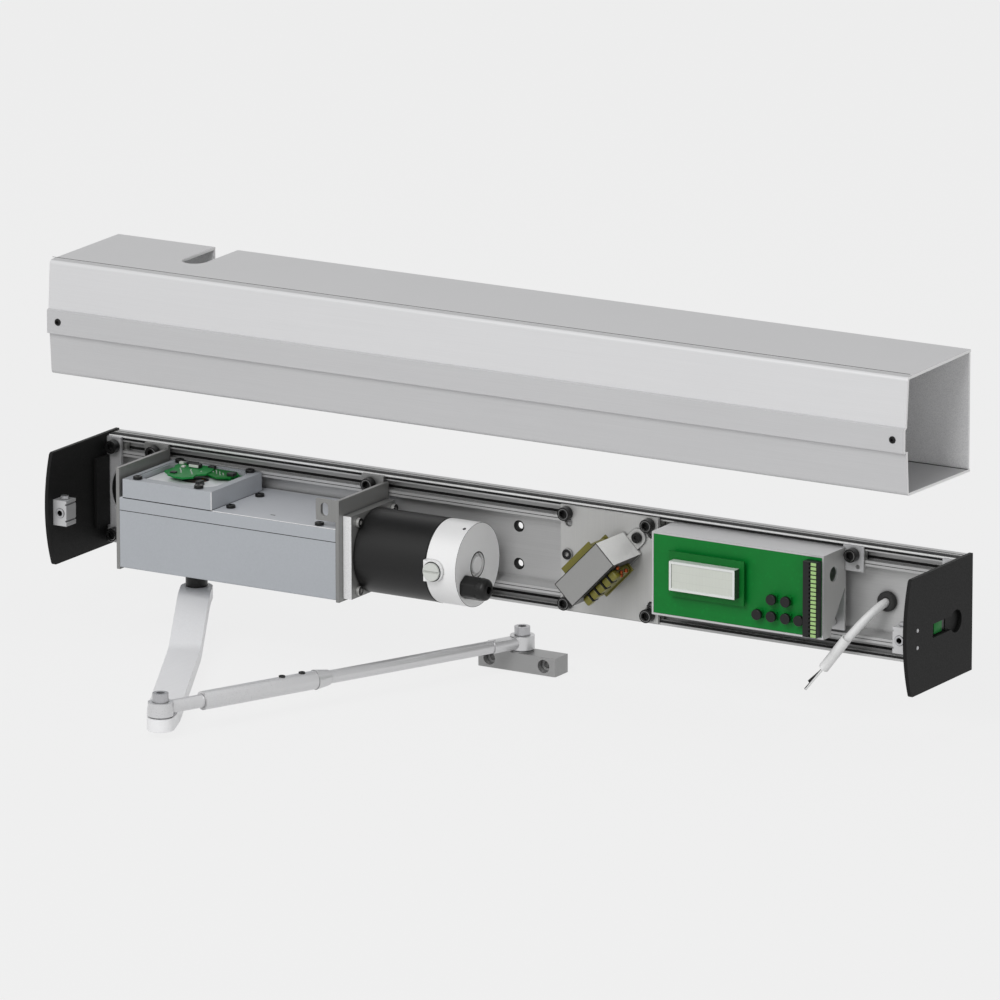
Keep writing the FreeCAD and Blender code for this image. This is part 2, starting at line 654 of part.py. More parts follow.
def sensor_housing():
    """Open tray on the lid, with a rounded pocket."""
    block = box(HOUSING_XS, HOUSING_YS, HOUSING_ZS)
    pocket = box(POCKET_XS, POCKET_YS, (POCKET_FLOOR_Z, HOUSING_ZS[1] + 1))
    pocket = pocket.makeFillet(POCKET_CORNER_R, slab_edges(pocket, AXIS_Z, (-999, -999, -99), (0, 0, 99)))
    rim_xs = (POCKET_XS[0] - HOUSING_RIM, POCKET_XS[1] + HOUSING_RIM)
    rim_ys = (POCKET_YS[0] - HOUSING_RIM, POCKET_YS[1] + HOUSING_RIM)
    rim = box(rim_xs, rim_ys, (HOUSING_ZS[1] - HOUSING_RIM_DEPTH, HOUSING_ZS[1] + 1))
    rim = rim.makeFillet(POCKET_CORNER_R + HOUSING_RIM, slab_edges(rim, AXIS_Z, (-999, -999, -99), (0, 0, 99)))
    block = block.cut(pocket).cut(rim)
    block = block.cut(rod_z(SPINDLE_R + 0.8, (HOUSING_ZS[0] - 1, POCKET_FLOOR_Z + 1), SPINDLE_X, SPINDLE_Y))
    for x, y in HOUSING_SCREW_XY:
        block = block.cut(rod_z(SMALL_SHANK_R, (HOUSING_ZS[1] - SMALL_SHANK_LENGTH, HOUSING_ZS[1] + 1), x, y))
    return block.removeSplitter()


def small_screw_z(x, y, z):
    """Pan head screw standing on a level face."""
    head = rod_z(SMALL_HEAD_R, (z, z + SMALL_HEAD_HEIGHT), x, y)
    head = head.makeFillet(0.7, [head.Edges[0]]) if head.Edges[0].CenterOfMass.z > z + 1 else head
    key = hex_prism(1.6, V(x, y, z + SMALL_HEAD_HEIGHT), V(0, 0, -1.5))
    return head.fuse(rod_z(SMALL_SHANK_R, (z - SMALL_SHANK_LENGTH, z), x, y)).cut(key)


def small_screw_x(x, y, z):
    """Pan head screw on a face that looks along +X."""
    head = rod_x(SMALL_HEAD_R, (x, x + SMALL_HEAD_HEIGHT), y, z)
    key = hex_prism(1.6, V(x + SMALL_HEAD_HEIGHT, y, z), V(-1.5, 0, 0))
    return head.fuse(rod_x(SMALL_SHANK_R, (x - SMALL_SHANK_LENGTH, x), y, z)).cut(key)


def flange_screw_spots():
    """The four motor screws as y and z."""
    spots = []
    for dy in (-FLANGE_SCREW_DY, FLANGE_SCREW_DY):
        for dz in (-FLANGE_SCREW_DZ, FLANGE_SCREW_DZ):
            spots.append((DRIVE_Y + dy, DRIVE_Z + dz))
    return spots


def housing_screws():
    """Small screws of the lid, the sensor housing and the motor flange."""
    parts = [small_screw_z(x, y, LID_ZS[1]) for x, y in LID_SCREW_XY]
    parts += [small_screw_z(x, y, HOUSING_ZS[1]) for x, y in HOUSING_SCREW_XY]
    parts += [small_screw_x(FLANGE_XS[1], y, z) for y, z in flange_screw_spots()]
    return Part.makeCompound(parts)


def gearbox_left_plate():
    """Side plate of the housing with flanges to the rail."""
    plate = box((LEFT_PLATE_X, BOX_XS[0]), (PLATE_FRONT_Y, RAIL_FRONT_Y), LEFT_PLATE_ZS)
    shape = plate
    for sign in (-1, 1):
        zs = (sign * (SLOT_CENTRE_Z - 8.0), sign * (SLOT_CENTRE_Z + 6.5))
        flange = box((LEFT_FLANGE_X, BOX_XS[0]), (BRACKET_FACE_Y, RAIL_FRONT_Y), (min(zs), max(zs)))
        shape = shape.fuse(flange)
    for z in (-SLOT_CENTRE_Z, SLOT_CENTRE_Z):
        shape = shape.cut(rod_y(SHANK_R, (BRACKET_FACE_Y - 1, RAIL_FRONT_Y + 1), LEFT_SCREW_X, z))
    return shape.removeSplitter()


def gearbox_right_bracket():
    """Bracket between the housing and the motor, with a slotted front tab."""
    plate = box(RIGHT_PLATE_XS, (PLATE_FRONT_Y, RAIL_FRONT_Y), RIGHT_PLATE_ZS)
    tab_ys = (PLATE_FRONT_Y, PLATE_FRONT_Y + FRONT_TAB_THICK)
    tab = box((FRONT_TAB_X, RIGHT_PLATE_XS[0]), tab_ys, FRONT_TAB_ZS)
    for dz in (-TAB_SLOT_HALF, TAB_SLOT_HALF):
        tab = tab.cut(rod_y(TAB_SLOT_R, (tab_ys[0] - 1, tab_ys[1] + 1), TAB_SLOT_X, TAB_SLOT_Z + dz))
    gap_xs = (TAB_SLOT_X - TAB_SLOT_R, TAB_SLOT_X + TAB_SLOT_R)
    gap_zs = (TAB_SLOT_Z - TAB_SLOT_HALF, TAB_SLOT_Z + TAB_SLOT_HALF)
    tab = tab.cut(box(gap_xs, (tab_ys[0] - 1, tab_ys[1] + 1), gap_zs))
    rear = box((RIGHT_FLANGE_X, RIGHT_PLATE_XS[0]), (BRACKET_FACE_Y, RAIL_FRONT_Y), RIGHT_FLANGE_ZS)
    rear = rear.cut(rod_y(SHANK_R, (BRACKET_FACE_Y - 1, RAIL_FRONT_Y + 1), RIGHT_SCREW_X, SLOT_CENTRE_Z))
    shape = plate.fuse(tab).fuse(rear)
    shape = shape.cut(rod_x(BEARING_R, (RIGHT_PLATE_XS[0] - 1, RIGHT_PLATE_XS[1] + 1), DRIVE_Y, DRIVE_Z))
    return shape.removeSplitter()


# Motor
def motor_flange():
    """Square flange with the front bearing seat."""
    plate = box(FLANGE_XS, FLANGE_YS, FLANGE_ZS)
    plate = plate.cut(rod_x(BEARING_R, (FLANGE_XS[0] - 1, FLANGE_XS[1] + 1), DRIVE_Y, DRIVE_Z))
    for y, z in flange_screw_spots():
        plate = plate.cut(rod_x(SMALL_SHANK_R, (FLANGE_XS[0] - 1, FLANGE_XS[1] + 1), y, z))
    return plate


def motor_can():
    """Drawn steel can around the magnets."""
    tube = rod_x(MOTOR_R, CAN_XS, DRIVE_Y, DRIVE_Z)
    return tube.cut(rod_x(CAN_BORE_R, (CAN_XS[0] - 1, CAN_XS[1] + 1), DRIVE_Y, DRIVE_Z))


def motor_magnets():
    """Two magnet shells inside the can."""
    ring = rod_x(CAN_BORE_R, MAGNET_XS, DRIVE_Y, DRIVE_Z)
    ring = ring.cut(rod_x(MAGNET_R, (MAGNET_XS[0] - 1, MAGNET_XS[1] + 1), DRIVE_Y, DRIVE_Z))
    gap = box(MAGNET_XS, (DRIVE_Y - CAN_BORE_R - 1, DRIVE_Y + CAN_BORE_R + 1), (DRIVE_Z - MAGNET_CUT, DRIVE_Z + MAGNET_CUT))
    return Part.makeCompound(ring.cut(gap).Solids)


def motor_end_bell():
    """Cast end bell with a hub and the two brush bosses."""
    bell = rod_x(MOTOR_R, BELL_XS, DRIVE_Y, DRIVE_Z)
    for sign in (-1, 1):
        reach = sorted((DRIVE_Y, DRIVE_Y + sign * BRUSH_REACH))
        boss = rod_y(BRUSH_BOSS_R, reach, BRUSH_X, DRIVE_Z)
        pad = box((BRUSH_PAD_X, BRUSH_X), reach, (DRIVE_Z - BRUSH_BOSS_R, DRIVE_Z + BRUSH_BOSS_R))
        bell = bell.fuse(boss).fuse(pad)
    bell = bell.cut(rod_x(BELL_BORE_R, (BELL_XS[0] - 1, BELL_XS[1] - BELL_FACE), DRIVE_Y, DRIVE_Z))
    recess_xs = (BELL_XS[1] - BELL_HOLE_DEPTH, BELL_XS[1] + 1)
    recess = rod_x(BELL_HOLE_R, recess_xs, DRIVE_Y, DRIVE_Z).cut(rod_x(BELL_HUB_R, recess_xs, DRIVE_Y, DRIVE_Z))
    bell = bell.cut(recess)
    hub_xs = (BELL_XS[1] - BELL_FACE - BEARING_WIDTH, BELL_XS[1] - BELL_FACE)
    hub = rod_x(BEARING_R + 2.5, hub_xs, DRIVE_Y, DRIVE_Z).cut(rod_x(BEARING_R, hub_xs, DRIVE_Y, DRIVE_Z))
    bell = bell.fuse(hub)
    return bell.cut(rod_x(ROTOR_SHAFT_R + 0.5, (hub_xs[1] - 1, hub_xs[1] + 3.0), DRIVE_Y, DRIVE_Z)).removeSplitter()


def brush_caps():
    """Slotted caps over the two brushes."""
    parts = []
    for sign in (-1, 1):
        low = DRIVE_Y + sign * BRUSH_REACH
        high = low + sign * BRUSH_CAP_HEIGHT
        cap = rod_y(BRUSH_CAP_R, sorted((low, high)), BRUSH_X, DRIVE_Z)
        slot_ys = sorted((high - sign * 1.0, high + sign * 1.0))
        slot_zs = (DRIVE_Z - BRUSH_SLOT / 2, DRIVE_Z + BRUSH_SLOT / 2)
        parts.append(cap.cut(box((BRUSH_X - BRUSH_CAP_R, BRUSH_X + BRUSH_CAP_R), slot_ys, slot_zs)))
    return Part.makeCompound(parts)


def motor_gland():
    """Cable gland on the end bell: hexagon body and domed nut."""
    start = V(BELL_XS[1], GLAND_Y, GLAND_Z)
    body = hex_prism(GLAND_HEX_R, start, V(GLAND_HEX_END - BELL_XS[1], 0, 0))
    body = body.common(rod_x(GLAND_HEX_R - 0.5, (BELL_XS[1], GLAND_HEX_END), GLAND_Y, GLAND_Z))
    nut = rod_x(GLAND_NUT_R, (GLAND_HEX_END, GLAND_NUT_END), GLAND_Y, GLAND_Z)
    outer = [e for e in nut.Edges if abs(e.CenterOfMass.x - GLAND_NUT_END) < 0.01]
    nut = nut.makeFillet(3.4, outer)
    gland = body.fuse(nut)
    return gland.cut(rod_x(GLAND_MOUTH_R, (GLAND_HEX_END, GLAND_NUT_END + 1), GLAND_Y, GLAND_Z)).removeSplitter()


def motor_rotor():
    """Armature, commutator and shaft."""
    shaft = rod_x(ROTOR_SHAFT_R, ROTOR_XS, DRIVE_Y, DRIVE_Z)
    core = rod_x(ARMATURE_R, ARMATURE_XS, DRIVE_Y, DRIVE_Z)
    for turn in range(0, 360, 45):
        angle = math.radians(turn)
        y = DRIVE_Y + ARMATURE_R * math.cos(angle)
        z = DRIVE_Z + ARMATURE_R * math.sin(angle)
        core = core.cut(rod_x(2.4, (ARMATURE_XS[0] - 1, ARMATURE_XS[1] + 1), y, z))
    return shaft.fuse(core).fuse(rod_x(COMMUTATOR_R, COMMUTATOR_XS, DRIVE_Y, DRIVE_Z)).removeSplitter()


def bearing_ring(axis, spot, outer, inner, width):
    """Plain bearing ring along an axis."""
    ring = Part.makeCylinder(outer, width, spot, axis)
    ring = ring.cut(Part.makeCylinder(inner + RUN_GAP, width, spot, axis))
    groove_out = (outer + inner) / 2 + 1.3
    groove_in = (outer + inner) / 2 - 1.3
    groove = Part.makeCylinder(groove_out, 0.6, spot, axis).cut(Part.makeCylinder(groove_in, 0.6, spot, axis))
    return ring.cut(groove)


def ball_bearings():
    """Bearings of the spindle and of the motor shaft."""
    low = V(SPINDLE_X, SPINDLE_Y, LOW_BEARING_ZS[0])
    top = V(SPINDLE_X, SPINDLE_Y, TOP_BEARING_ZS[0])
    front = V(FLANGE_XS[0], DRIVE_Y, DRIVE_Z)
    rear = V(BELL_XS[1] - BELL_FACE - BEARING_WIDTH, DRIVE_Y, DRIVE_Z)
    parts = [bearing_ring(AXIS_Z, low, SPINDLE_BEARING_R, SPINDLE_R, LOW_BEARING_ZS[1] - LOW_BEARING_ZS[0])]
    parts.append(bearing_ring(AXIS_Z, top, SPINDLE_BEARING_R, SPINDLE_R, TOP_BEARING_ZS[1] - TOP_BEARING_ZS[0]))
    parts.append(bearing_ring(AXIS_X, front, BEARING_R, ROTOR_SHAFT_R, BEARING_WIDTH))
    parts.append(bearing_ring(AXIS_X, rear, BEARING_R, ROTOR_SHAFT_R, BEARING_WIDTH))
    return Part.makeCompound(parts)


# Reduction gear, bevel pair and spindle
def gearhead():
    """Sealed planetary reduction with an input and an output bore."""
    body = rod_x(GEARHEAD_R, GEARHEAD_XS, DRIVE_Y, DRIVE_Z)
    ring_xs = (BOX_XS[1] - BOX_WALL - GEARHEAD_FLANGE, BOX_XS[1] - BOX_WALL)
    nose = rod_x(PINION_SHAFT_R + 5.0, (GEARHEAD_XS[0] - 6.0, GEARHEAD_XS[0]), DRIVE_Y, DRIVE_Z)
    body = body.fuse(nose)
    ring = rod_x(GEARHEAD_FLANGE_R, ring_xs, DRIVE_Y, DRIVE_Z)
    roof = box(ring_xs, (BOX_YS[0], 0.0), (LID_ZS[1] - LID_ROOF - 0.2, LID_ZS[1] + GEARHEAD_FLANGE_R))
    body = body.fuse(ring.cut(roof))
    out_xs = (GEARHEAD_XS[0] - 7.0, PINION_SHAFT_END + 1.0)
    in_xs = (ROTOR_XS[0] - 1.0, GEARHEAD_XS[1] + 1)
    body = body.cut(rod_x(PINION_SHAFT_R + RUN_GAP, out_xs, DRIVE_Y, DRIVE_Z))
    return body.cut(rod_x(ROTOR_SHAFT_R + RUN_GAP, in_xs, DRIVE_Y, DRIVE_Z)).removeSplitter()


def bevel_section(distance, cone, azimuth, teeth, along, spokes, apex):
    """Four corners of one tooth at a distance from the cone's apex."""
    far = math.hypot(WHEEL_PITCH_R, PINION_PITCH_R)
    scale = distance / far
    radial = spokes[0] * math.cos(azimuth) + spokes[1] * math.sin(azimuth)
    tangent = spokes[1] * math.cos(azimuth) - spokes[0] * math.sin(azimuth)
    line = radial * math.sin(cone) + along * math.cos(cone)
    normal = radial * math.cos(cone) - along * math.sin(cone)
    half = TOOTH_SHARE * math.pi * far * math.sin(cone) / teeth * scale
    tip = line * distance + normal * (ADDENDUM * scale)
    root = line * distance - normal * ((DEDENDUM + TOOTH_SINK) * scale)
    corners = [tip + tangent * (half * TOOTH_TIP_SHARE), tip - tangent * (half * TOOTH_TIP_SHARE),
               root - tangent * (half * TOOTH_ROOT_SHARE), root + tangent * (half * TOOTH_ROOT_SHARE)]
    points = [apex + corner for corner in corners]
    return Part.makePolygon(points + [points[0]])


def bevel_tooth_set(cone, teeth, phase, along, spokes, apex):
    """All teeth of one bevel gear."""
    far = math.hypot(WHEEL_PITCH_R, PINION_PITCH_R)
    near = far - TOOTH_FACE
    parts = []
    for index in range(teeth):
        azimuth = 2 * math.pi * (index + phase) / teeth
        big = bevel_section(far, cone, azimuth, teeth, along, spokes, apex)
        small = bevel_section(near, cone, azimuth, teeth, along, spokes, apex)
        parts.append(Part.makeLoft([big, small], True, True))
    return parts


def root_point(distance, cone):
    """Radius and height on the root cone at a distance from the apex."""
    far = math.hypot(WHEEL_PITCH_R, PINION_PITCH_R)
    drop = DEDENDUM * distance / far
    radius = distance * math.sin(cone) - drop * math.cos(cone)
    height = distance * math.cos(cone) + drop * math.sin(cone)
    return radius, height


def bevel_wheel():
    """Large bevel gear on the spindle, teeth up."""
    apex = V(SPINDLE_X, SPINDLE_Y, DRIVE_Z)
    cone = math.atan2(WHEEL_PITCH_R, PINION_PITCH_R)
    far = math.hypot(WHEEL_PITCH_R, PINION_PITCH_R)
    out_r, out_h = root_point(far + BLANK_EDGE, cone)
    in_r, in_h = root_point(far - TOOTH_FACE - BLANK_EDGE, cone)
    hub_top = DRIVE_Z - WHEEL_HUB_ZS[1]
    hub_low = DRIVE_Z - WHEEL_HUB_ZS[0]
    back = out_h + WHEEL_BACK
    pairs = ((in_r, in_h), (out_r, out_h), (out_r, back), (WHEEL_HUB_R, back), (WHEEL_HUB_R, hub_low),
             (SPINDLE_R, hub_low), (SPINDLE_R, hub_top), (WHEEL_HUB_R, hub_top), (WHEEL_HUB_R + 3.0, in_h + 1.6))
    points = [V(SPINDLE_X + r, SPINDLE_Y, DRIVE_Z - h) for r, h in pairs]
    face = Part.Face(Part.makePolygon(points + [points[0]]))
    blank = face.revolve(V(SPINDLE_X, SPINDLE_Y, 0), AXIS_Z, 360)
    teeth = bevel_tooth_set(cone, WHEEL_TEETH, 0.5, AXIS_Z * -1.0, (AXIS_X, AXIS_Y), apex)
    return blank.multiFuse(teeth).removeSplitter()


def bevel_pinion():
    """Small bevel gear and its shaft."""
    apex = V(SPINDLE_X, DRIVE_Y, DRIVE_Z)
    cone = math.atan2(PINION_PITCH_R, WHEEL_PITCH_R)
    far = math.hypot(WHEEL_PITCH_R, PINION_PITCH_R)
    out_r, out_h = root_point(far + BLANK_EDGE, cone)
    in_r, in_h = root_point(far - TOOTH_FACE - BLANK_EDGE, cone)
    pairs = ((0.0, in_h), (in_r, in_h), (out_r, out_h), (out_r, out_h + 1.6), (PINION_SHAFT_R, out_h + 1.6),
             (PINION_SHAFT_R, PINION_SHAFT_END - SPINDLE_X), (0.0, PINION_SHAFT_END - SPINDLE_X))
    points = [V(SPINDLE_X + h, DRIVE_Y, DRIVE_Z + r) for r, h in pairs]
    face = Part.Face(Part.makePolygon(points + [points[0]]))
    blank = face.revolve(V(0, DRIVE_Y, DRIVE_Z), AXIS_X, 360)
    teeth = bevel_tooth_set(cone, PINION_TEETH, 0.0, AXIS_X, (AXIS_Z * -1.0, AXIS_Y), apex)
    return blank.multiFuse(teeth).removeSplitter()


def output_spindle():
    """Spindle with a collar under the upper bearing."""
    shaft = rod_z(SPINDLE_R, (EXTENSION_ZS[1], SPINDLE_ZS[1]), SPINDLE_X, SPINDLE_Y)
    collar = rod_z(SPINDLE_COLLAR_R, SPINDLE_COLLAR_ZS, SPINDLE_X, SPINDLE_Y)
    shaft = shaft.fuse(collar)
    hole = rod_z(ARM_SCREW_R, (EXTENSION_ZS[1] - 1, EXTENSION_ZS[1] + 12.0), SPINDLE_X, SPINDLE_Y)
    return shaft.cut(hole).removeSplitter()


def spindle_extension():
    """Black extension between the housing and the arm."""
    body = rod_z(EXTENSION_R, EXTENSION_ZS, SPINDLE_X, SPINDLE_Y)
    return body.cut(rod_z(ARM_SCREW_R, (EXTENSION_ZS[0] - 1, EXTENSION_ZS[1] + 1), SPINDLE_X, SPINDLE_Y))


def sensor_disc():
    """Sector disc that the position sensor reads."""
    spot = V(SPINDLE_X, SPINDLE_Y, DISC_ZS[0])
    height = DISC_ZS[1] - DISC_ZS[0]
    sector = Part.makeCylinder(DISC_R, height, spot, AXIS_Z, DISC_SWEEP)
    sector.rotate(spot, AXIS_Z, 180.0 + DISC_START)
    return sector.fuse(Part.makeCylinder(DISC_HUB_R, height, spot, AXIS_Z)).removeSplitter()


def sensor_boards():
    """Two small boards on posts in the sensor housing."""
    lift = V(0, 0, SENSOR_BOARD_ZS[1] - SENSOR_BOARD_ZS[0])
    parts = []
    for outline, posts in ((BOARD_ONE, BOARD_ONE_POSTS), (BOARD_TWO, BOARD_TWO_POSTS)):
        board = prism([(x, y, SENSOR_BOARD_ZS[0]) for x, y in outline], lift)
        for x, y in posts:
            board = board.fuse(rod_z(BOARD_POST_R, (POCKET_FLOOR_Z, SENSOR_BOARD_ZS[0]), x, y))
        parts.append(board.removeSplitter())
    return Part.makeCompound(parts)


# Arms
def arm_length():
    """Distance from spindle to elbow."""
    return math.hypot(ELBOW_X - SPINDLE_X, ELBOW_Y - SPINDLE_Y)


def arm_drop():
    """Height lost along the two bends and the slope."""
    slope = math.radians(ARM_SLOPE_DEG)
    bends = (ARM_BEND_ONE_R + ARM_BEND_TWO_R) * (1 - math.cos(slope))
    return bends + ARM_SLOPE_RUN * math.tan(slope)


def bend_arc(start, radius, slope, from_level):
    """Middle and end of a bend that begins or ends level."""
    half = slope / 2
    if from_level:
        middle = (start[0] + radius * math.sin(half), start[1] - radius * (1 - math.cos(half)))
        end = (start[0] + radius * math.sin(slope), start[1] - radius * (1 - math.cos(slope)))
        return middle, end
    mid_dx = radius * (math.sin(slope) - math.sin(half))
    mid_dz = radius * (math.cos(half) - math.cos(slope))
    end_dx = radius * math.sin(slope)
    end_dz = radius * (1 - math.cos(slope))
    return (start[0] + mid_dx, start[1] - mid_dz), (start[0] + end_dx, start[1] - end_dz)


def arm_line(level, first_r, second_r):
    """Edges of the arm's side view along one face, from spindle end to elbow end."""
    slope = math.radians(ARM_SLOPE_DEG)
    begin = (-ARM_HALF_WIDTH - 1, level)
    shift = (first_r - ARM_BEND_ONE_R) * math.sin(slope)
    bend_start = (ARM_BEND_ONE, level)
    mid_one, end_one = bend_arc(bend_start, first_r, slope, True)
    run = ARM_SLOPE_RUN - shift
    slope_end = (end_one[0] + run, end_one[1] - run * math.tan(slope))
    mid_two, end_two = bend_arc(slope_end, second_r, slope, False)
    finish = (arm_length() + ARM_TIP_R + 1, end_two[1])
    return begin, bend_start, mid_one, end_one, slope_end, mid_two, end_two, finish


def to_wire(chain):
    """Wire through line and arc joints of an arm face."""
    begin, start, mid_one, end_one, slope_end, mid_two, end_two, finish = [V(s, 0, z) for s, z in chain]
    return [Part.makeLine(begin, start), Part.Arc(start, mid_one, end_one).toShape(), Part.makeLine(end_one, slope_end),
            Part.Arc(slope_end, mid_two, end_two).toShape(), Part.makeLine(end_two, finish)]


def main_arm():
    """Bent flat bar with round ends."""
    upper = arm_line(ARM_TOP_Z, ARM_BEND_ONE_R, ARM_BEND_TWO_R)
    lower = [(s, z - ARM_THICK) for s, z in upper]
    edges = to_wire(upper) + to_wire(lower)
    edges.append(Part.makeLine(V(upper[0][0], 0, upper[0][1]), V(lower[0][0], 0, lower[0][1])))
    edges.append(Part.makeLine(V(upper[-1][0], 0, upper[-1][1]), V(lower[-1][0], 0, lower[-1][1])))
    wire = Part.Wire(Part.__sortEdges__(edges))
    side = Part.Face(wire).extrude(V(0, 2 * ARM_HALF_WIDTH + 2, 0))
    side.translate(V(0, -ARM_HALF_WIDTH - 1, 0))
    length = arm_length()
    low = ARM_TOP_Z - ARM_THICK - arm_drop() - 2
    height = ARM_TOP_Z + 2 - low
    outline = [(0, -ARM_HALF_WIDTH), (length - ARM_TAPER, -ARM_HALF_WIDTH), (length, -ARM_TIP_R),
               (length, ARM_TIP_R), (length - ARM_TAPER, ARM_HALF_WIDTH), (0, ARM_HALF_WIDTH)]
    plan = prism([(x, y, low) for x, y in outline], V(0, 0, height))
    plan = plan.fuse(Part.makeCylinder(ARM_HALF_WIDTH, height, V(0, 0, low), AXIS_Z))
    plan = plan.fuse(Part.makeCylinder(ARM_TIP_R, height, V(length, 0, low), AXIS_Z))
    bar = side.common(plan)
    bar = bar.cut(Part.makeCylinder(ARM_SCREW_R, height, V(0, 0, low), AXIS_Z))
    bar = bar.cut(Part.makeCylinder(PIVOT_R, height, V(length, 0, low), AXIS_Z)).removeSplitter()
    turn = math.degrees(math.atan2(ELBOW_Y - SPINDLE_Y, ELBOW_X - SPINDLE_X))
    bar.rotate(V(0, 0, 0), AXIS_Z, turn)
    bar.translate(V(SPINDLE_X, SPINDLE_Y, 0))
    return bar


def arm_screw():
    """Screw that clamps the arm and the extension to the spindle."""
    low = ARM_TOP_Z - ARM_THICK
    head = rod_z(ARM_SCREW_HEAD_R, (low - ARM_SCREW_HEAD, low), SPINDLE_X, SPINDLE_Y)
    shank = rod_z(ARM_SCREW_R, (low, EXTENSION_ZS[1] + 12.0), SPINDLE_X, SPINDLE_Y)
    key = hex_prism(4.6, V(SPINDLE_X, SPINDLE_Y, low - ARM_SCREW_HEAD), V(0, 0, 3.4))
    return head.fuse(shank).cut(key).removeSplitter()


def elbow_top():
    """Height of the main arm's top face at the elbow."""
    return ARM_TOP_Z - arm_drop()


def eye_zs():
    """Height range of both forearm eyes."""
    low = elbow_top() + PIVOT_WASHER
    return low, low + EYE_HEIGHT


def pivot_screw(x, y, low):
    """Pivot screw with a washer under the eye and a socket head above it."""
    zs = eye_zs()
    washer = rod_z(PIVOT_WASHER_R, (zs[0] - PIVOT_WASHER, zs[0] - RUN_GAP), x, y)
    shank = rod_z(PIVOT_R, (low, zs[1]), x, y)
    head = rod_z(PIVOT_HEAD_R, (zs[1] + RUN_GAP, zs[1] + PIVOT_HEAD), x, y)
    shank = shank.fuse(rod_z(PIVOT_R, (zs[1] - 1, zs[1] + 1), x, y))
    key = hex_prism(PIVOT_HEX_R, V(x, y, zs[1] + PIVOT_HEAD), V(0, 0, -HEX_DEPTH))
    return shank.fuse(washer).fuse(head).cut(key).removeSplitter()


def elbow_screw():
    """Pivot of the forearm on the main arm."""
    return pivot_screw(ELBOW_X, ELBOW_Y, elbow_top() - ARM_THICK)


def shoe_screw():
    """Pivot of the forearm on the shoe."""
    return pivot_screw(SHOE_X, SHOE_Y, elbow_top() - SHOE_TOP_BOSS - SHOE_HEIGHT + 2.0)


def forearm_turn():
    """Heading of the forearm in degrees."""
    return math.degrees(math.atan2(SHOE_Y - ELBOW_Y, SHOE_X - ELBOW_X))


def forearm_length():
    """Distance between the forearm's two eyes."""
    return math.hypot(SHOE_X - ELBOW_X, SHOE_Y - ELBOW_Y)


def place_forearm(shape):
    """Move a forearm piece from its own frame to the elbow."""
    shape.rotate(V(0, 0, 0), AXIS_Z, forearm_turn())
    shape.translate(V(ELBOW_X, ELBOW_Y, 0))
    return shape


def forearm_axis_z():
    """Height of the tube's axis."""
    low, high = eye_zs()
    return (low + high) / 2


def forearm_tube():
    """Tube with an eye at the elbow and a tapered collar at the rod end."""
    z = forearm_axis_z()
    zs = eye_zs()
    eye = rod_z(EYE_R, zs, 0, 0)
    neck = rod_x(NECK_R, (0.0, TUBE_START), 0, z)
    tube = rod_x(TUBE_R, (TUBE_START, TUBE_END), 0, z)
    collar = Part.makeCone(TUBE_R + 0.6, ROD_R + 0.9, COLLAR_END - TUBE_END, V(TUBE_END, 0, z), AXIS_X)
    shape = eye.fuse(neck).fuse(tube).fuse(collar)
    shape = shape.cut(rod_z(PIVOT_R + RUN_GAP, (zs[0] - 1, zs[1] + 1), 0, 0))
    shape = shape.cut(rod_x(ROD_R + RUN_GAP, (TUBE_START + 6.0, COLLAR_END + 1), 0, z))
    for at in SET_SCREW_AT:
        shape = shape.cut(rod_z(SET_SCREW_R, (z, z + TUBE_R + 1), at, 0))
    return place_forearm(shape.removeSplitter())


def clamp_screws():
    """Set screws that clamp the rod in the tube."""
    z = forearm_axis_z()
    parts = []
    for at in SET_SCREW_AT:
        screw = rod_z(SET_SCREW_R, (z + ROD_R + RUN_GAP, z + TUBE_R + SET_SCREW_PROUD), at, 0)
        key = hex_prism(1.5, V(at, 0, z + TUBE_R + SET_SCREW_PROUD), V(0, 0, -1.6))
        parts.append(place_forearm(screw.cut(key)))
    return Part.makeCompound(parts)


def forearm_rod():
    """Rod with a flattened sleeve and an eye at the shoe end."""
    z = forearm_axis_z()
    zs = eye_zs()
    length = forearm_length()
    rod = rod_x(ROD_R, (ROD_START, ROD_END), 0, z)
    sleeve = rod_x(SLEEVE_R, (SLEEVE_XS[0], length), 0, z)
    flats = box((SLEEVE_XS[0], length), (-9, 9), (z - SLEEVE_FLAT, z + SLEEVE_FLAT))
    sleeve = sleeve.common(flats)
    eye = rod_z(EYE_R, zs, length, 0)
    shape = rod.fuse(sleeve).fuse(eye)
    shape = shape.cut(rod_z(PIVOT_R + RUN_GAP, (zs[0] - 1, zs[1] + 1), length, 0))
    return place_forearm(shape.removeSplitter())


def door_shoe():
    """Block that screws to the door or frame, with counterbored holes."""
    top = elbow_top() - SHOE_TOP_BOSS
    zs = (top - SHOE_HEIGHT, top)
    block = box(SHOE_XS, SHOE_YS, zs)
    uprights = slab_edges(block, AXIS_Z, (-99, -99, -199), (99, -10, 0))
    block = block.makeFillet(SHOE_EDGE_R, uprights)
    block = block.fuse(rod_z(EYE_R - 0.6, (top, elbow_top()), SHOE_X, SHOE_Y))
    middle = (SHOE_XS[0] + SHOE_XS[1]) / 2
    z = (zs[0] + zs[1]) / 2
    for dx in (-SHOE_HOLE_DX, SHOE_HOLE_DX):
        block = block.cut(rod_y(SHOE_HOLE_R, (SHOE_YS[0] - 1, SHOE_YS[1] + 1), middle + dx, z))
        block = block.cut(rod_y(SHOE_SINK_R, (SHOE_YS[0] - 1, SHOE_YS[0] + SHOE_SINK_DEPTH), middle + dx, z))
    block = block.cut(rod_z(PIVOT_R, (zs[0] + 2.0, elbow_top() + 1), SHOE_X, SHOE_Y))
    return block.removeSplitter()


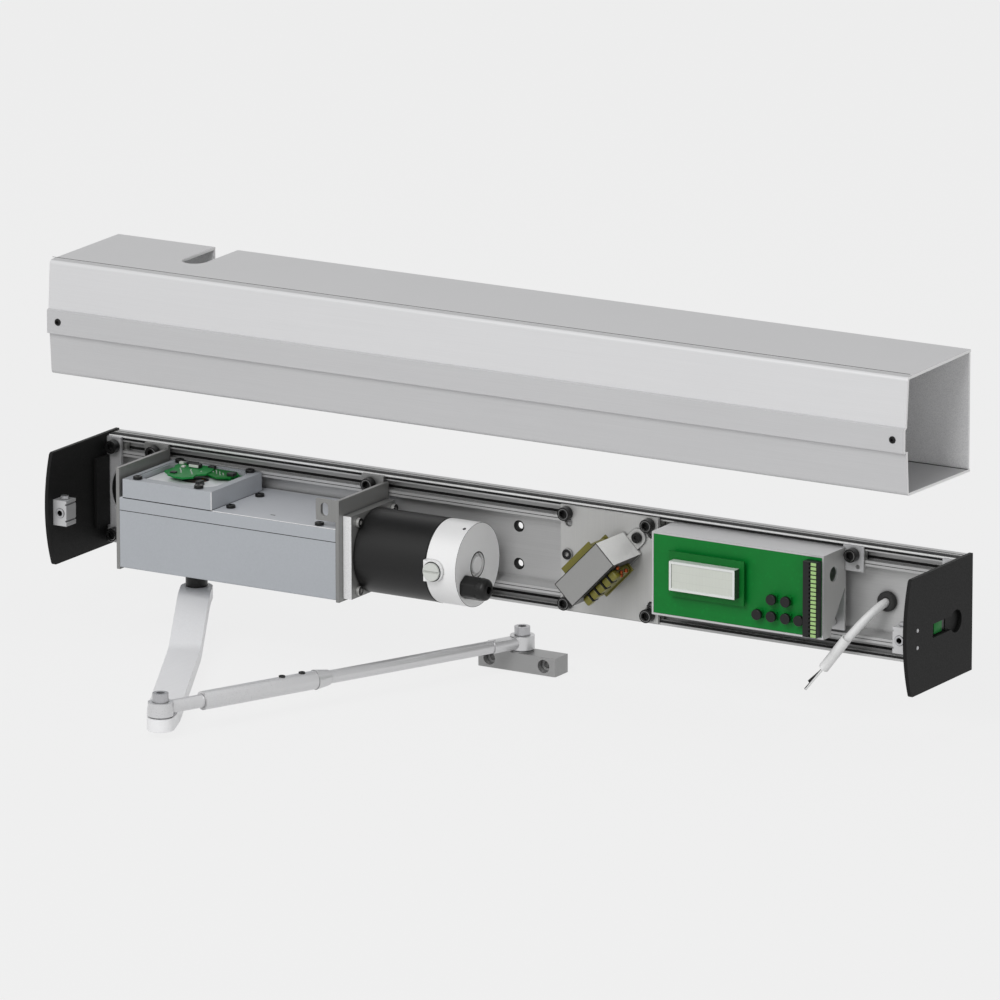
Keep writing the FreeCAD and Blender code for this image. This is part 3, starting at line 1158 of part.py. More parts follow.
# Transformer
def transformer_plate():
    """Plate clamped between the two slots."""
    plate = box(TPLATE_XS, (BRACKET_FACE_Y, RAIL_FRONT_Y), (-TPLATE_HALF_HEIGHT, TPLATE_HALF_HEIGHT))
    for x in TPLATE_SCREW_XS:
        for z in (-SLOT_CENTRE_Z, SLOT_CENTRE_Z):
            inward = -1.0 if z > 0 else 1.0
            near = z + inward * TPLATE_SLOT_TRIM
            plate = plate.cut(rod_y(SHANK_R + 0.1, (BRACKET_FACE_Y - 1, RAIL_FRONT_Y + 1), x, z))
            plate = plate.cut(rod_y(SHANK_R + 0.1, (BRACKET_FACE_Y - 1, RAIL_FRONT_Y + 1), x + 1.6, near))
            slot_zs = sorted((z, near))
            plate = plate.cut(box((x - SHANK_R + 0.8, x + SHANK_R + 0.8), (BRACKET_FACE_Y - 1, RAIL_FRONT_Y + 1), slot_zs))
    return plate.removeSplitter()


def turn_core(shape):
    """Turn a transformer piece about its own middle line."""
    shape.rotate(V(TCORE_X, 0, TCORE_Z), AXIS_Y, -TCORE_DEG)
    return shape


def core_box(half_a, half_b, ys, shift_a=0.0):
    """Box in the transformer's own directions, before it is turned."""
    xs = (TCORE_X + shift_a - half_a, TCORE_X + shift_a + half_a)
    return box(xs, ys, (TCORE_Z - half_b, TCORE_Z + half_b))


def transformer_core():
    """Laminated core with two winding windows."""
    core = core_box(TCORE_LONG / 2, TCORE_SHORT / 2, TCORE_YS)
    ys = (TCORE_YS[0] + CORE_YOKE, TCORE_YS[1] - CORE_YOKE)
    for sign in (-1, 1):
        shift = sign * (CORE_LIMB + CORE_WINDOW) / 2
        core = core.cut(core_box(CORE_WINDOW / 2, TCORE_SHORT, ys, shift))
    return turn_core(core)


def transformer_bobbin():
    """Bobbin tube and its two cheeks."""
    ys = (TCORE_YS[0] + CORE_YOKE + BOBBIN_GAP, TCORE_YS[1] - CORE_YOKE - BOBBIN_GAP)
    half_a = CORE_LIMB / 2
    half_b = TCORE_SHORT / 2
    reach_a = half_a + CORE_WINDOW - BOBBIN_GAP
    reach_b = half_b + BOBBIN_REACH
    tube = core_box(half_a + BOBBIN_WALL, half_b + BOBBIN_WALL, ys)
    front = core_box(reach_a, reach_b, (ys[0], ys[0] + BOBBIN_CHEEK))
    rear = core_box(reach_a, reach_b, (ys[1] - BOBBIN_CHEEK, ys[1]))
    bobbin = tube.fuse(front).fuse(rear).cut(core_box(half_a, half_b, (ys[0] - 1, ys[1] + 1)))
    return turn_core(bobbin.removeSplitter())


def transformer_windings():
    """Wound wire between the bobbin's cheeks."""
    ys = (TCORE_YS[0] + CORE_YOKE + BOBBIN_GAP + BOBBIN_CHEEK, TCORE_YS[1] - CORE_YOKE - BOBBIN_GAP - BOBBIN_CHEEK)
    half_a = CORE_LIMB / 2 + BOBBIN_WALL
    half_b = TCORE_SHORT / 2 + BOBBIN_WALL
    reach_a = CORE_LIMB / 2 + CORE_WINDOW - WINDING_INSET
    reach_b = TCORE_SHORT / 2 + BOBBIN_REACH - WINDING_INSET
    coil = core_box(reach_a, reach_b, ys)
    coil = coil.makeFillet(2.4, [e for e in coil.Edges if abs(e.tangentAt(e.FirstParameter).dot(AXIS_Y)) > 0.99])
    return turn_core(coil.cut(core_box(half_a, half_b, (ys[0] - 1, ys[1] + 1))))


def transformer_clamp():
    """Foot plate under the core with a lug at each end, and its screws."""
    ys = (TCORE_YS[1], BRACKET_FACE_Y)
    foot = core_box(LUG_AT, LUG_R, ys)
    foot = foot.fuse(core_box(TCORE_LONG / 2, TCORE_SHORT / 2, ys))
    screws = []
    for sign in (-1, 1):
        x = TCORE_X + sign * LUG_AT
        foot = foot.fuse(rod_y(LUG_R, ys, x, TCORE_Z))
        screw = rod_y(SMALL_HEAD_R + 0.4, (ys[0] - SMALL_HEAD_HEIGHT, ys[0]), x, TCORE_Z)
        key = hex_prism(1.8, V(x, ys[0] - SMALL_HEAD_HEIGHT, TCORE_Z), V(0, 1.5, 0))
        screws.append(turn_core(screw.cut(key)))
    x, z = EARTH_SCREW_XZ
    earth = rod_y(SMALL_HEAD_R + 0.4, (BRACKET_FACE_Y - SMALL_HEAD_HEIGHT, BRACKET_FACE_Y), x, z)
    screws.append(earth.cut(hex_prism(1.8, V(x, BRACKET_FACE_Y - SMALL_HEAD_HEIGHT, z), V(0, 1.5, 0))))
    return Part.makeCompound([turn_core(foot.removeSplitter())] + screws)


# Control unit
def control_tray():
    """Folded tray behind the control board."""
    rear = box(TRAY_XS, (TRAY_YS[1] - TRAY_WALL, TRAY_YS[1]), (TRAY_REAR_LOW_Z, TRAY_TOP_Z))
    roof = box(TRAY_XS, TRAY_YS, (TRAY_TOP_Z - TRAY_WALL, TRAY_TOP_Z))
    x = TRAY_XS[1] - TRAY_WALL
    side_points = ((x, TRAY_YS[0], TRAY_TOP_Z), (x, TRAY_YS[1], TRAY_TOP_Z), (x, TRAY_YS[1], TRAY_SIDE_CUT_Z),
                   (x, TRAY_LIP_Y, TRAY_LOW_Z + 5.0), (x, TRAY_LIP_Y, TRAY_LOW_Z), (x, TRAY_YS[0], TRAY_LOW_Z))
    side = prism(side_points, V(TRAY_WALL, 0, 0))
    lip = box(TRAY_XS, (TRAY_YS[0], TRAY_LIP_Y), (TRAY_LOW_Z, TRAY_LOW_Z + TRAY_WALL))
    left = box((TRAY_XS[0], TRAY_XS[0] + TRAY_WALL), TRAY_YS, (TRAY_LOW_Z, TRAY_TOP_Z))
    tab = box((TRAY_XS[1] - TRAY_WALL, TRAY_TAB_X), (TRAY_YS[1] - TRAY_WALL, TRAY_YS[1]), TRAY_TAB_ZS)
    shape = rear.fuse(roof).fuse(side).fuse(lip).fuse(left).fuse(tab)
    for px, pz in TRAY_POST_XZ:
        shape = shape.fuse(rod_y(TRAY_POST_R, (BOARD_YS[1], TRAY_YS[1] - TRAY_WALL), px, pz))
    shape = shape.cut(rod_x(TRAY_HOLE_R, (x - 1, TRAY_XS[1] + 1), TRAY_HOLE_Y, TRAY_HOLE_Z))
    through = (TRAY_YS[1] - TRAY_WALL - 1, TRAY_YS[1] + 1)
    shape = shape.cut(rod_y(SHANK_R, through, TRAY_SCREW_X, SLOT_CENTRE_Z))
    for px in TRAY_PAN_XS:
        shape = shape.cut(rod_y(SHANK_R, through, px, TRAY_PAN_Z))
    shape = shape.cut(rod_y(1.7, (TRAY_YS[1] - 3, TRAY_YS[1] + 1), TRAY_TAB_X - 5.0, TRAY_TAB_ZS[0] + 3.6))
    return shape.removeSplitter()


def control_board():
    """Main board with the six push switches."""
    board = box(BOARD_XS, BOARD_YS, BOARD_ZS)
    for x, z in BUTTON_XZ:
        xs = (x - SWITCH_HALF, x + SWITCH_HALF)
        zs = (z - SWITCH_HALF, z + SWITCH_HALF)
        switch = box(xs, (SWITCH_FRONT_Y, BOARD_YS[0]), zs)
        board = board.fuse(switch)
        board = board.cut(rod_y(SWITCH_HOLE_R, (SWITCH_FRONT_Y - 1, BUTTON_STEM_END + 1.6), x, z))
    return board.removeSplitter()


def display_board():
    """Small board in front of the main one, on four posts."""
    board = box(DISPLAY_BOARD_XS, DISPLAY_BOARD_YS, DISPLAY_BOARD_ZS)
    for x in (DISPLAY_BOARD_XS[0] + 3.4, DISPLAY_BOARD_XS[1] - 3.4):
        for z in (DISPLAY_BOARD_ZS[0] + 3.4, DISPLAY_BOARD_ZS[1] - 3.4):
            board = board.fuse(rod_y(2.0, (DISPLAY_BOARD_YS[1], BOARD_YS[0]), x, z))
    return board.removeSplitter()


def display_module():
    """Display with a raised bezel."""
    body = box(DISPLAY_XS, DISPLAY_YS, DISPLAY_ZS)
    xs = (DISPLAY_XS[0] + DISPLAY_BEZEL, DISPLAY_XS[1] - DISPLAY_BEZEL)
    zs = (DISPLAY_ZS[0] + DISPLAY_BEZEL, DISPLAY_ZS[1] - DISPLAY_BEZEL)
    return body.cut(box(xs, (DISPLAY_YS[0] - 1, DISPLAY_YS[0] + DISPLAY_SINK), zs))


def control_button(index):
    """Round push button with its stem."""
    x, z = BUTTON_XZ[index]
    head = rod_y(BUTTON_R, (BUTTON_YS[0], BUTTON_YS[0] + 3.0), x, z)
    return head.fuse(rod_y(BUTTON_STEM_R, (BUTTON_YS[0] + 3.0, BUTTON_STEM_END), x, z)).removeSplitter()


def terminal_strip():
    """Row of screw terminals along the board's right edge."""
    strip = box(TERMINAL_XS, TERMINAL_YS, TERMINAL_ZS)
    pitch = (TERMINAL_ZS[1] - TERMINAL_ZS[0]) / TERMINAL_POLES
    x = (TERMINAL_XS[0] + TERMINAL_XS[1]) / 2
    cuts = []
    for pole in range(TERMINAL_POLES):
        z = TERMINAL_ZS[0] + pitch * (pole + 0.5)
        cuts.append(rod_y(TERMINAL_HOLE_R, (TERMINAL_YS[0] - 1, TERMINAL_YS[0] + TERMINAL_HOLE_DEPTH), x, z))
    return strip.cut(Part.makeCompound(cuts))


def switch_board():
    """Small board behind the right cap's window, on two posts."""
    board = box(SWITCH_BOARD_XS, SWITCH_BOARD_YS, SWITCH_BOARD_ZS)
    y = SWITCH_BOARD_YS[0] + 3.2
    for z in (SWITCH_BOARD_ZS[0] + 3.2, SWITCH_BOARD_ZS[1] - 3.2):
        board = board.fuse(rod_x(SWITCH_POST_R, (SWITCH_BOARD_XS[1], RAIL_END), y, z))
    return board.removeSplitter()


# Mains cable
def mains_grommet():
    """Rubber grommet in the rail's web."""
    body = rod_y(GROMMET_R, GROMMET_YS, GROMMET_X, GROMMET_Z)
    outer = [e for e in body.Edges if abs(e.CenterOfMass.y - GROMMET_YS[0]) < 0.01]
    body = body.makeFillet(2.0, outer)
    body = body.fuse(rod_y(GROMMET_HOLE_R, (GROMMET_YS[1], -0.4), GROMMET_X, GROMMET_Z))
    return body.cut(rod_y(CABLE_R, (GROMMET_YS[0] - 1, 1), GROMMET_X, GROMMET_Z)).removeSplitter()


def cable_bend():
    """Tangent points, arc middle and radius of the cable's one bend."""
    start, corner, end = [V(*p) for p in CABLE_POINTS]
    first = (corner - start)
    second = (end - corner)
    half = first.getAngle(second) / 2
    trim = 0.45 * min(first.Length, second.Length)
    radius = trim / math.tan(half)
    first.normalize()
    second.normalize()
    into = corner - first * trim
    out = corner + second * trim
    inward = second - first
    inward.normalize()
    middle = corner + inward * (radius / math.cos(half) - radius)
    return start, into, middle, out, end, radius


def cable_tube(radius, bare_from):
    """Round tube along the route, the second part only when asked."""
    start, into, middle, out, end, _ = cable_bend()
    if bare_from is not None:
        begin = out + (end - out) * bare_from
        edges = [Part.makeLine(begin, end)]
        normal = end - begin
        origin = begin
    else:
        edges = [Part.makeLine(start, into), Part.Arc(into, middle, out).toShape(), Part.makeLine(out, end)]
        normal = into - start
        origin = start
    circle = Part.Wire([Part.makeCircle(radius, origin, normal)])
    return Part.Wire(edges).makePipeShell([circle], True, True)


def mains_cable():
    """Cable sheath from the web to its cut end."""
    return cable_tube(CABLE_R, None)


def cable_sleeve():
    """Sleeve over the cable's lower part."""
    outer = cable_tube(CABLE_SLEEVE_R, CABLE_SLEEVE_FROM)
    return outer.cut(cable_tube(CABLE_R, None))


def cable_cores():
    """Two stripped cores out of the sheath's end."""
    _, _, _, out, end, _ = cable_bend()
    line = end - out
    line.normalize()
    side = AXIS_Y
    parts = []
    for sign, reach in zip((-1.0, 1.0), CORE_ENDS):
        start = end + side * (sign * CORE_SPREAD)
        finish = start + V(*reach)
        core = Part.makeCylinder(CORE_R, (finish - start).Length, start, finish - start)
        parts.append(core.cut(mains_cable()))
    return Part.makeCompound(parts)


# Cover
def cover_edge(inset):
    """Outline of the cover's section, moved inward by the wall."""
    shift = inset
    rear_y = 0.0
    pairs = ((rear_y, COVER_REAR_HALF - shift), (COVER_FRONT_Y + shift, COVER_FRONT_HALF - shift),
             (COVER_LEAN_Y + shift, COVER_BAND_ZS[1] + 1.0 - shift * 0.3),
             (COVER_BAND_Y + shift, COVER_BAND_ZS[1] - shift * 0.4),
             (COVER_BAND_Y + shift, COVER_BAND_ZS[0] + shift * 0.4),
             (COVER_UNDER_Y + shift, COVER_BAND_ZS[0] + shift * 0.4),
             (COVER_LOW_Y + shift, -COVER_FRONT_HALF + shift), (rear_y, -COVER_REAR_HALF + shift))
    return [(-COVER_END, y, z) for y, z in pairs]


def cover():
    """Formed cover with a raised band, screw holes and spindle notches."""
    span = V(2 * COVER_END, 0, 0)
    skin = prism(cover_edge(0.0), span)
    low = (-COVER_END, COVER_FRONT_Y - 0.1, COVER_FRONT_HALF - 0.1)
    high = (COVER_END, COVER_FRONT_Y + 0.1, COVER_FRONT_HALF + 0.1)
    skin = skin.makeFillet(COVER_CORNER_R, slab_edges(skin, AXIS_X, low, high))
    low = (-COVER_END, COVER_LOW_Y - 0.1, -COVER_FRONT_HALF - 0.1)
    high = (COVER_END, COVER_LOW_Y + 0.1, -COVER_FRONT_HALF + 0.1)
    skin = skin.makeFillet(COVER_CORNER_R, slab_edges(skin, AXIS_X, low, high))
    hollow = prism([(x - 1, y, z) for x, y, z in cover_edge(COVER_WALL)], V(2 * COVER_END + 2, 0, 0))
    skin = skin.cut(hollow)
    for sign in (-1, 1):
        x = sign * (COVER_END - COVER_HOLE_IN)
        skin = skin.cut(rod_y(COVER_HOLE_R, (COVER_BAND_Y - 1, COVER_FRONT_Y + 5), x, BLOCK_AXIS_Z))
    tall = (-COVER_REAR_HALF - 1, COVER_REAR_HALF + 1)
    notch = rod_z(COVER_NOTCH_R, tall, SPINDLE_X, COVER_NOTCH_Y)
    notch_xs = (SPINDLE_X - COVER_NOTCH_R, SPINDLE_X + COVER_NOTCH_R)
    skin = skin.cut(notch).cut(box(notch_xs, (COVER_NOTCH_Y, 1.0), tall))
    skin.translate(V(0, 0, COVER_LIFT))
    return skin.removeSplitter()


def cover_back():
    """Back sheet in two lengths between the cover's flanges, with a gap between them for the spindle."""
    half = COVER_REAR_HALF - COVER_WALL - BACK_SHEET_PLAY
    gap_xs = (SPINDLE_X - COVER_NOTCH_R, SPINDLE_X + COVER_NOTCH_R)
    lengths = [box(xs, (-BACK_SHEET_THICK, 0.0), (-half, half))
               for xs in ((-BACK_SHEET_END, gap_xs[0]), (gap_xs[1], BACK_SHEET_END))]
    sheets = Part.makeCompound(lengths)
    sheets.translate(V(0, 0, COVER_LIFT))
    return sheets


BUILDERS = (back_profile, left_end_cap, right_end_cap, cap_brackets, cover_blocks, block_fittings,
            slot_screws, slot_nuts, gearbox_body, gearbox_lid, sensor_housing, housing_screws,
            gearbox_left_plate, gearbox_right_bracket, motor_flange, motor_can, motor_magnets,
            motor_end_bell, brush_caps, motor_gland, motor_rotor, ball_bearings, gearhead,
            bevel_wheel, bevel_pinion, output_spindle, spindle_extension, sensor_disc,
            sensor_boards, main_arm, arm_screw, elbow_screw, shoe_screw, forearm_tube,
            clamp_screws, forearm_rod, door_shoe, transformer_plate, transformer_core,
            transformer_bobbin, transformer_windings, transformer_clamp, control_tray,
            control_board, display_board, display_module, terminal_strip, switch_board,
            mains_grommet, mains_cable, cable_sleeve, cable_cores, cover, cover_back)


def main():
    """Write one file per piece and print the cable's bend radius."""
    os.makedirs("parts", exist_ok=True)
    for builder in BUILDERS:
        shape = builder()
        bounds = shape.BoundBox
        print(builder.__name__, len(shape.Solids), shape.isValid(), round(bounds.XMin, 1), round(bounds.XMax, 1),
              round(bounds.YMin, 1), round(bounds.YMax, 1), round(bounds.ZMin, 1), round(bounds.ZMax, 1))
        shape.exportStep("parts/" + builder.__name__ + ".step")
    for index in range(len(BUTTON_XZ)):
        control_button(index).exportStep("parts/button_" + str(index + 1) + ".step")
    print("cable bend radius", round(cable_bend()[5], 3))


main()
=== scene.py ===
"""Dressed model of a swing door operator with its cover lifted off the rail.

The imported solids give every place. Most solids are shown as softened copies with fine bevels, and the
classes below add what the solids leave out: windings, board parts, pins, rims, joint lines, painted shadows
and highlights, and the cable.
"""

from __future__ import annotations

import json
import logging
import math
import random
from dataclasses import dataclass, field
from enum import Enum
from typing import Callable, Sequence

import bmesh
import bpy
from bpy.types import ID, Material, Mesh, Node, NodeSocket, NodeTree, Object
from mathutils import Matrix, Vector

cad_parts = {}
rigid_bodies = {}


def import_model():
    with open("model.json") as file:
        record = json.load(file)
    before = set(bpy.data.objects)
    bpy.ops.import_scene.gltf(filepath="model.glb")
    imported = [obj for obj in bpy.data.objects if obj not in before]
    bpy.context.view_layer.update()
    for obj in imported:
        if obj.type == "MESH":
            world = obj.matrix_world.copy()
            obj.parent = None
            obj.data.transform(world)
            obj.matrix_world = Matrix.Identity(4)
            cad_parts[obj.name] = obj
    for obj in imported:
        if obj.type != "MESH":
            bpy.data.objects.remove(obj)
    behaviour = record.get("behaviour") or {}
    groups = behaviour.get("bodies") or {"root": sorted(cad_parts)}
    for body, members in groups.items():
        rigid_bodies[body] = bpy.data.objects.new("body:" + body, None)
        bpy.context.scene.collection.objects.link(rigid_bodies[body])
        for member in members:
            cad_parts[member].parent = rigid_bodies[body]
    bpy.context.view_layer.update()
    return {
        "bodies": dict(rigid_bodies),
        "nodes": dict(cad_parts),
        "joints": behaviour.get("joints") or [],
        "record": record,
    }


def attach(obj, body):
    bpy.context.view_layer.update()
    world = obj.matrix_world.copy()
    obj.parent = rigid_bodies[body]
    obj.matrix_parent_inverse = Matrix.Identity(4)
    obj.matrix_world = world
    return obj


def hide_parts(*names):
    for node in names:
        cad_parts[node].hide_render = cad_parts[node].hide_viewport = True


LOG = logging.getLogger("door_operator")
Point = tuple[float, float, float]
Colour = tuple[float, float, float, float]
Test = Callable[[Vector, Vector], bool]
Outline = tuple[tuple[float, float], ...]
FRAME: dict = {}
MM = 0.001
MERGE_REACH = 2e-6
FLAT_DEG = 0.6
SHARP_DEG = 32.0
BEVEL_DEG = 35.0
UP = (0.0, 0.0, 1.0)
RIGHT = (1.0, 0.0, 0.0)
FRONT = (0.0, -1.0, 0.0)


# Colour and node helpers
def linear(value: float) -> float:
    """Return the linear level of one displayed level between 0 and 1."""
    return value / 12.92 if value <= 0.04045 else ((value + 0.055) / 1.055) ** 2.4


def tint(red: float, green: float, blue: float) -> Colour:
    """Return displayed red, green and blue as a linear colour with alpha."""
    return (linear(red), linear(green), linear(blue), 1.0)


def grey(level: float) -> Colour:
    """Return a displayed grey as a linear colour."""
    return tint(level, level, level)


def scaled(colour: Sequence[float], factor: float) -> Colour:
    """Return a linear colour made lighter or darker by a factor."""
    return tuple(min(1.0, channel * factor) for channel in colour[:3]) + (1.0,)


class Nodes:
    """Short hand for building one material's node tree."""

    def __init__(self, name: str) -> None:
        """Make the material, with a shader at its output.

        Args:
            name: Name of the new material.
        """
        self.material = bpy.data.materials.new(name)
        self.material.use_nodes = True
        self.tree = self.material.node_tree
        self.tree.nodes.clear()
        self.shader = self.add("ShaderNodeBsdfPrincipled")
        self.link(self.shader, "BSDF", self.add("ShaderNodeOutputMaterial"), "Surface")

    def add(self, kind: str, **settings: object) -> Node:
        """Add a node.

        Args:
            kind: Blender's identifier of the node type.
            settings: Attributes to set, or input values where the name is an input.

        Returns:
            The new node.
        """
        node = self.tree.nodes.new(kind)
        for key, value in settings.items():
            label = key.replace("_", " ")
            if label in node.inputs:
                node.inputs[label].default_value = value
            else:
                setattr(node, key, value)
        return node

    def plain(self, **levels: float) -> None:
        """Set inputs of the shader that are the same all over, with underscores for spaces."""
        for key, level in levels.items():
            self.shader.inputs[key.replace("_", " ")].default_value = level

    def link(self, source: Node, out: str | int, target: Node, into: str | int) -> None:
        """Join an output of one node to an input of another."""
        self.tree.links.new(source.outputs[out], target.inputs[into])

    def place(self, scale: Sequence[float]) -> Node:
        """Return a mapping node on the piece's own coordinates, with a scale in cycles per metre."""
        mapping = self.add("ShaderNodeMapping", Scale=tuple(scale))
        self.link(self.add("ShaderNodeTexCoord"), "Object", mapping, "Vector")
        return mapping

    def noise(self, scale: Sequence[float], detail: float = 3.0) -> Node:
        """Return a noise texture on object coordinates, stretched by the scale of each axis."""
        texture = self.add("ShaderNodeTexNoise", Scale=1.0, Detail=detail, Roughness=0.55)
        self.link(self.place(scale), "Vector", texture, "Vector")
        return texture

    def span(self, source: Node, out: str | int, low: float, high: float,
             start: float = 0.3, end: float = 0.7) -> Node:
        """Return a map range node that turns a texture's level into a range."""
        node = self.add("ShaderNodeMapRange", From_Min=start, From_Max=end, To_Min=low, To_Max=high)
        self.link(source, out, node, "Value")
        return node

    def mix(self, factor: Node, out: str | int, first: object, second: object) -> Node:
        """Return a colour mix, where each side is a colour or a node and its output."""
        node = self.add("ShaderNodeMix", data_type="RGBA")
        self.link(factor, out, node, 0)
        for index, side in ((6, first), (7, second)):
            if isinstance(side[0], Node):
                self.link(side[0], side[1], node, index)
            else:
                node.inputs[index].default_value = side
        return node

    def bump(self, source: Node, out: str | int, strength: float, depth_mm: float) -> None:
        """Give the shader the relief of a texture."""
        node = self.add("ShaderNodeBump", Strength=strength, Distance=depth_mm * MM)
        self.link(source, out, node, "Height")
        self.link(node, "Normal", self.shader, "Normal")


class Shade:
    """Shares of the base colour, and sizes, that every finish has in common."""

    PATCH = 0.55
    # Share of the base colour left in the painted shade of corners.
    CORNER_SHADE = 0.12
    ROUGH_SWING = 0.12
    GRAIN_DEPTH_MM = 0.05
    # Reach of the edge tone, which above 1 is a painted highlight.
    EDGE_REACH_MM = 0.45


class Grain(Enum):
    """Fine structure of a finish: cycles per metre on each axis."""

    ALONG_X = (14.0, 2600.0, 2600.0)
    ALONG_Y = (2600.0, 14.0, 2600.0)
    ALONG_Z = (2600.0, 2600.0, 14.0)
    CAST = (900.0, 900.0, 900.0)
    FINE = (2200.0, 2200.0, 2200.0)
    SOFT = (420.0, 420.0, 420.0)


@dataclass(frozen=True)
class Coating:
    """What every surface has.

    Attributes:
        name: Name of the material.
        colour: Linear base colour.
    """

    name: str
    colour: Colour

    def material(self) -> Material:
        """Return the material, built once."""
        return bpy.data.materials.get(self.name) or self.build(Nodes(self.name))


@dataclass(frozen=True)
class Finish(Coating):
    """A surface finish made of shader nodes.

    Attributes:
        metallic: Share of metal.
        rough: Roughness.
        grain: Direction and size of the fine structure.
        bump: Strength of the fine structure.
        fleck: How far the fine structure changes the colour.
        cloud: How far slow patches change the colour.
        edge_tone: Edge lightness against the rest, 1 for none; over 1 a painted highlight, under 1 a dark
            rim.
        corner_shade_mm: Reach in millimetres of the painted shade in corners, 0 for none.
        shine: Level of the plain reflection, 0.5 for most.
    """

    metallic: float = 0.0
    rough: float = 0.4
    grain: Grain = Grain.FINE
    bump: float = 0.12
    fleck: float = 0.05
    cloud: float = 0.05
    edge_tone: float = 1.0
    corner_shade_mm: float = 0.0
    shine: float = 0.5

    def build(self, nodes: Nodes) -> Material:
        """Build the node tree and return its material."""
        nodes.plain(Metallic=self.metallic, Specular_IOR_Level=self.shine)
        fine = nodes.noise(self.grain.value)
        slow = nodes.noise((9.0, 9.0, 9.0), detail=2.0)
        shade = nodes.mix(nodes.span(fine, 0, 0.0, 1.0), 0, scaled(self.colour, 1.0 - self.fleck),
                          scaled(self.colour, 1.0 + self.fleck))
        patch = nodes.span(slow, 0, 0.0, self.cloud)
        colour = nodes.mix(patch, 0, (shade, 2), scaled(self.colour, Shade.PATCH))
        # Lighter edges are a painted highlight, darker edges a dark rim.
        if self.edge_tone != 1.0:
            colour = nodes.mix(self.edge(nodes), 0, (colour, 2), scaled(self.colour, self.edge_tone))
        # Painted shade in corners, from ambient occlusion.
        if self.corner_shade_mm:
            near = nodes.add("ShaderNodeAmbientOcclusion", Distance=self.corner_shade_mm * MM, samples=6)
            shade_mask = nodes.span(near, "AO", 1.0, 0.0, 0.25, 0.85)
            colour = nodes.mix(shade_mask, 0, (colour, 2), scaled(self.colour, Shade.CORNER_SHADE))
        nodes.link(colour, 2, nodes.shader, "Base Color")
        swing = self.rough * Shade.ROUGH_SWING
        gloss = nodes.span(fine, 0, self.rough - swing, self.rough + swing)
        nodes.link(gloss, 0, nodes.shader, "Roughness")
        nodes.bump(fine, 0, self.bump, Shade.GRAIN_DEPTH_MM)
        return nodes.material

    def edge(self, nodes: Nodes) -> Node:
        """Return a node that is near 1 along edges, in patches, and 0 elsewhere."""
        rounded = nodes.add("ShaderNodeBevel", Radius=Shade.EDGE_REACH_MM * MM, samples=4)
        geometry = nodes.add("ShaderNodeNewGeometry")
        dot = nodes.add("ShaderNodeVectorMath", operation="DOT_PRODUCT")
        nodes.link(rounded, "Normal", dot, 0)
        nodes.link(geometry, "Normal", dot, 1)
        patchy = nodes.noise((260.0, 260.0, 260.0))
        node = nodes.add("ShaderNodeMath", operation="MULTIPLY")
        nodes.link(nodes.span(dot, "Value", 1.0, 0.0, 0.90, 0.995), 0, node, 0)
        nodes.link(nodes.span(patchy, 0, 0.35, 1.0), 0, node, 1)
        return node


SILVER = Finish("silver_anodised", tint(0.86, 0.86, 0.865), 0.20, 0.44, Grain.ALONG_X, 0.05, 0.02, 0.03, 0.72)
# Darker copy of the cover's silver for its top and lower front faces: painted shade.
SILVER_SHADED = Finish("silver_painted_shade", tint(0.785, 0.785, 0.79), 0.25, 0.44, Grain.ALONG_X, 0.06, 0.03,
                    0.04, 0.72)
# Pale tone of cut metal edges, also used for painted highlights along edges.
CUT_EDGE_AND_HIGHLIGHT = Finish("cut_aluminium_and_highlight", grey(0.98), 0.0, 0.45, Grain.FINE, 0.05, 0.02, 0.0)
SHEET_GREY = Finish("rolled_sheet", tint(0.96, 0.96, 0.965), 0.0, 0.60, Grain.FINE, 0.30, 0.22, 0.08, 0.8)
RAIL_SILVER = Finish("extruded_silver", grey(0.76), 0.40, 0.42, Grain.ALONG_X, 0.10, 0.05, 0.12, 1.2,
                     corner_shade_mm=5.0)
CAP_BLACK = Finish("powder_black", grey(0.055), 0.0, 0.60, Grain.CAST, 0.22, 0.10, 0.05, 1.8, shine=0.22)
CAST_GREY = Finish("cast_blue_grey", tint(0.70, 0.715, 0.735), 0.15, 0.48, Grain.CAST, 0.14, 0.03, 0.05,
                   1.35, corner_shade_mm=1.6)
PLATE_GREY = Finish("zinc_plate", tint(0.56, 0.56, 0.555), 0.50, 0.40, Grain.ALONG_Z, 0.10, 0.05, 0.10,
                    0.6, corner_shade_mm=3.0)
BRIGHT_PLATE = Finish("bright_plate", tint(0.79, 0.79, 0.795), 0.45, 0.38, Grain.ALONG_X, 0.10, 0.05, 0.08,
                      0.6, corner_shade_mm=2.0)
MOTOR_BLACK = Finish("motor_enamel", grey(0.045), 0.0, 0.42, Grain.FINE, 0.05, 0.06, 0.04, 1.5, shine=0.4)
BELL_WHITE = Finish("turned_bell", grey(0.97), 0.05, 0.36, Grain.FINE, 0.06, 0.02, 0.04, 0.7, corner_shade_mm=2.0)
SCREW_BLACK = Finish("black_oxide", grey(0.085), 0.45, 0.36, Grain.FINE, 0.12, 0.12, 0.10, 2.4)
ZINC = Finish("bright_zinc", tint(0.84, 0.84, 0.83), 0.70, 0.30, Grain.FINE, 0.10, 0.06, 0.08)
STEEL = Finish("turned_steel", tint(0.72, 0.72, 0.73), 0.75, 0.30, Grain.FINE, 0.10, 0.06, 0.06, 0.7,
               corner_shade_mm=1.5)
ARM_STEEL = Finish("brushed_arm", tint(0.97, 0.97, 0.975), 0.05, 0.38, Grain.ALONG_Y, 0.10, 0.04, 0.05, 0.6)
ROD_STEEL = Finish("drawn_rod", tint(0.84, 0.84, 0.845), 0.50, 0.30, Grain.ALONG_X, 0.06, 0.04, 0.05, 0.6,
                   corner_shade_mm=1.5)
SHOE_STEEL = Finish("sawn_steel", grey(0.62), 0.50, 0.42, Grain.ALONG_X, 0.14, 0.06, 0.08, 0.7, corner_shade_mm=2.0)
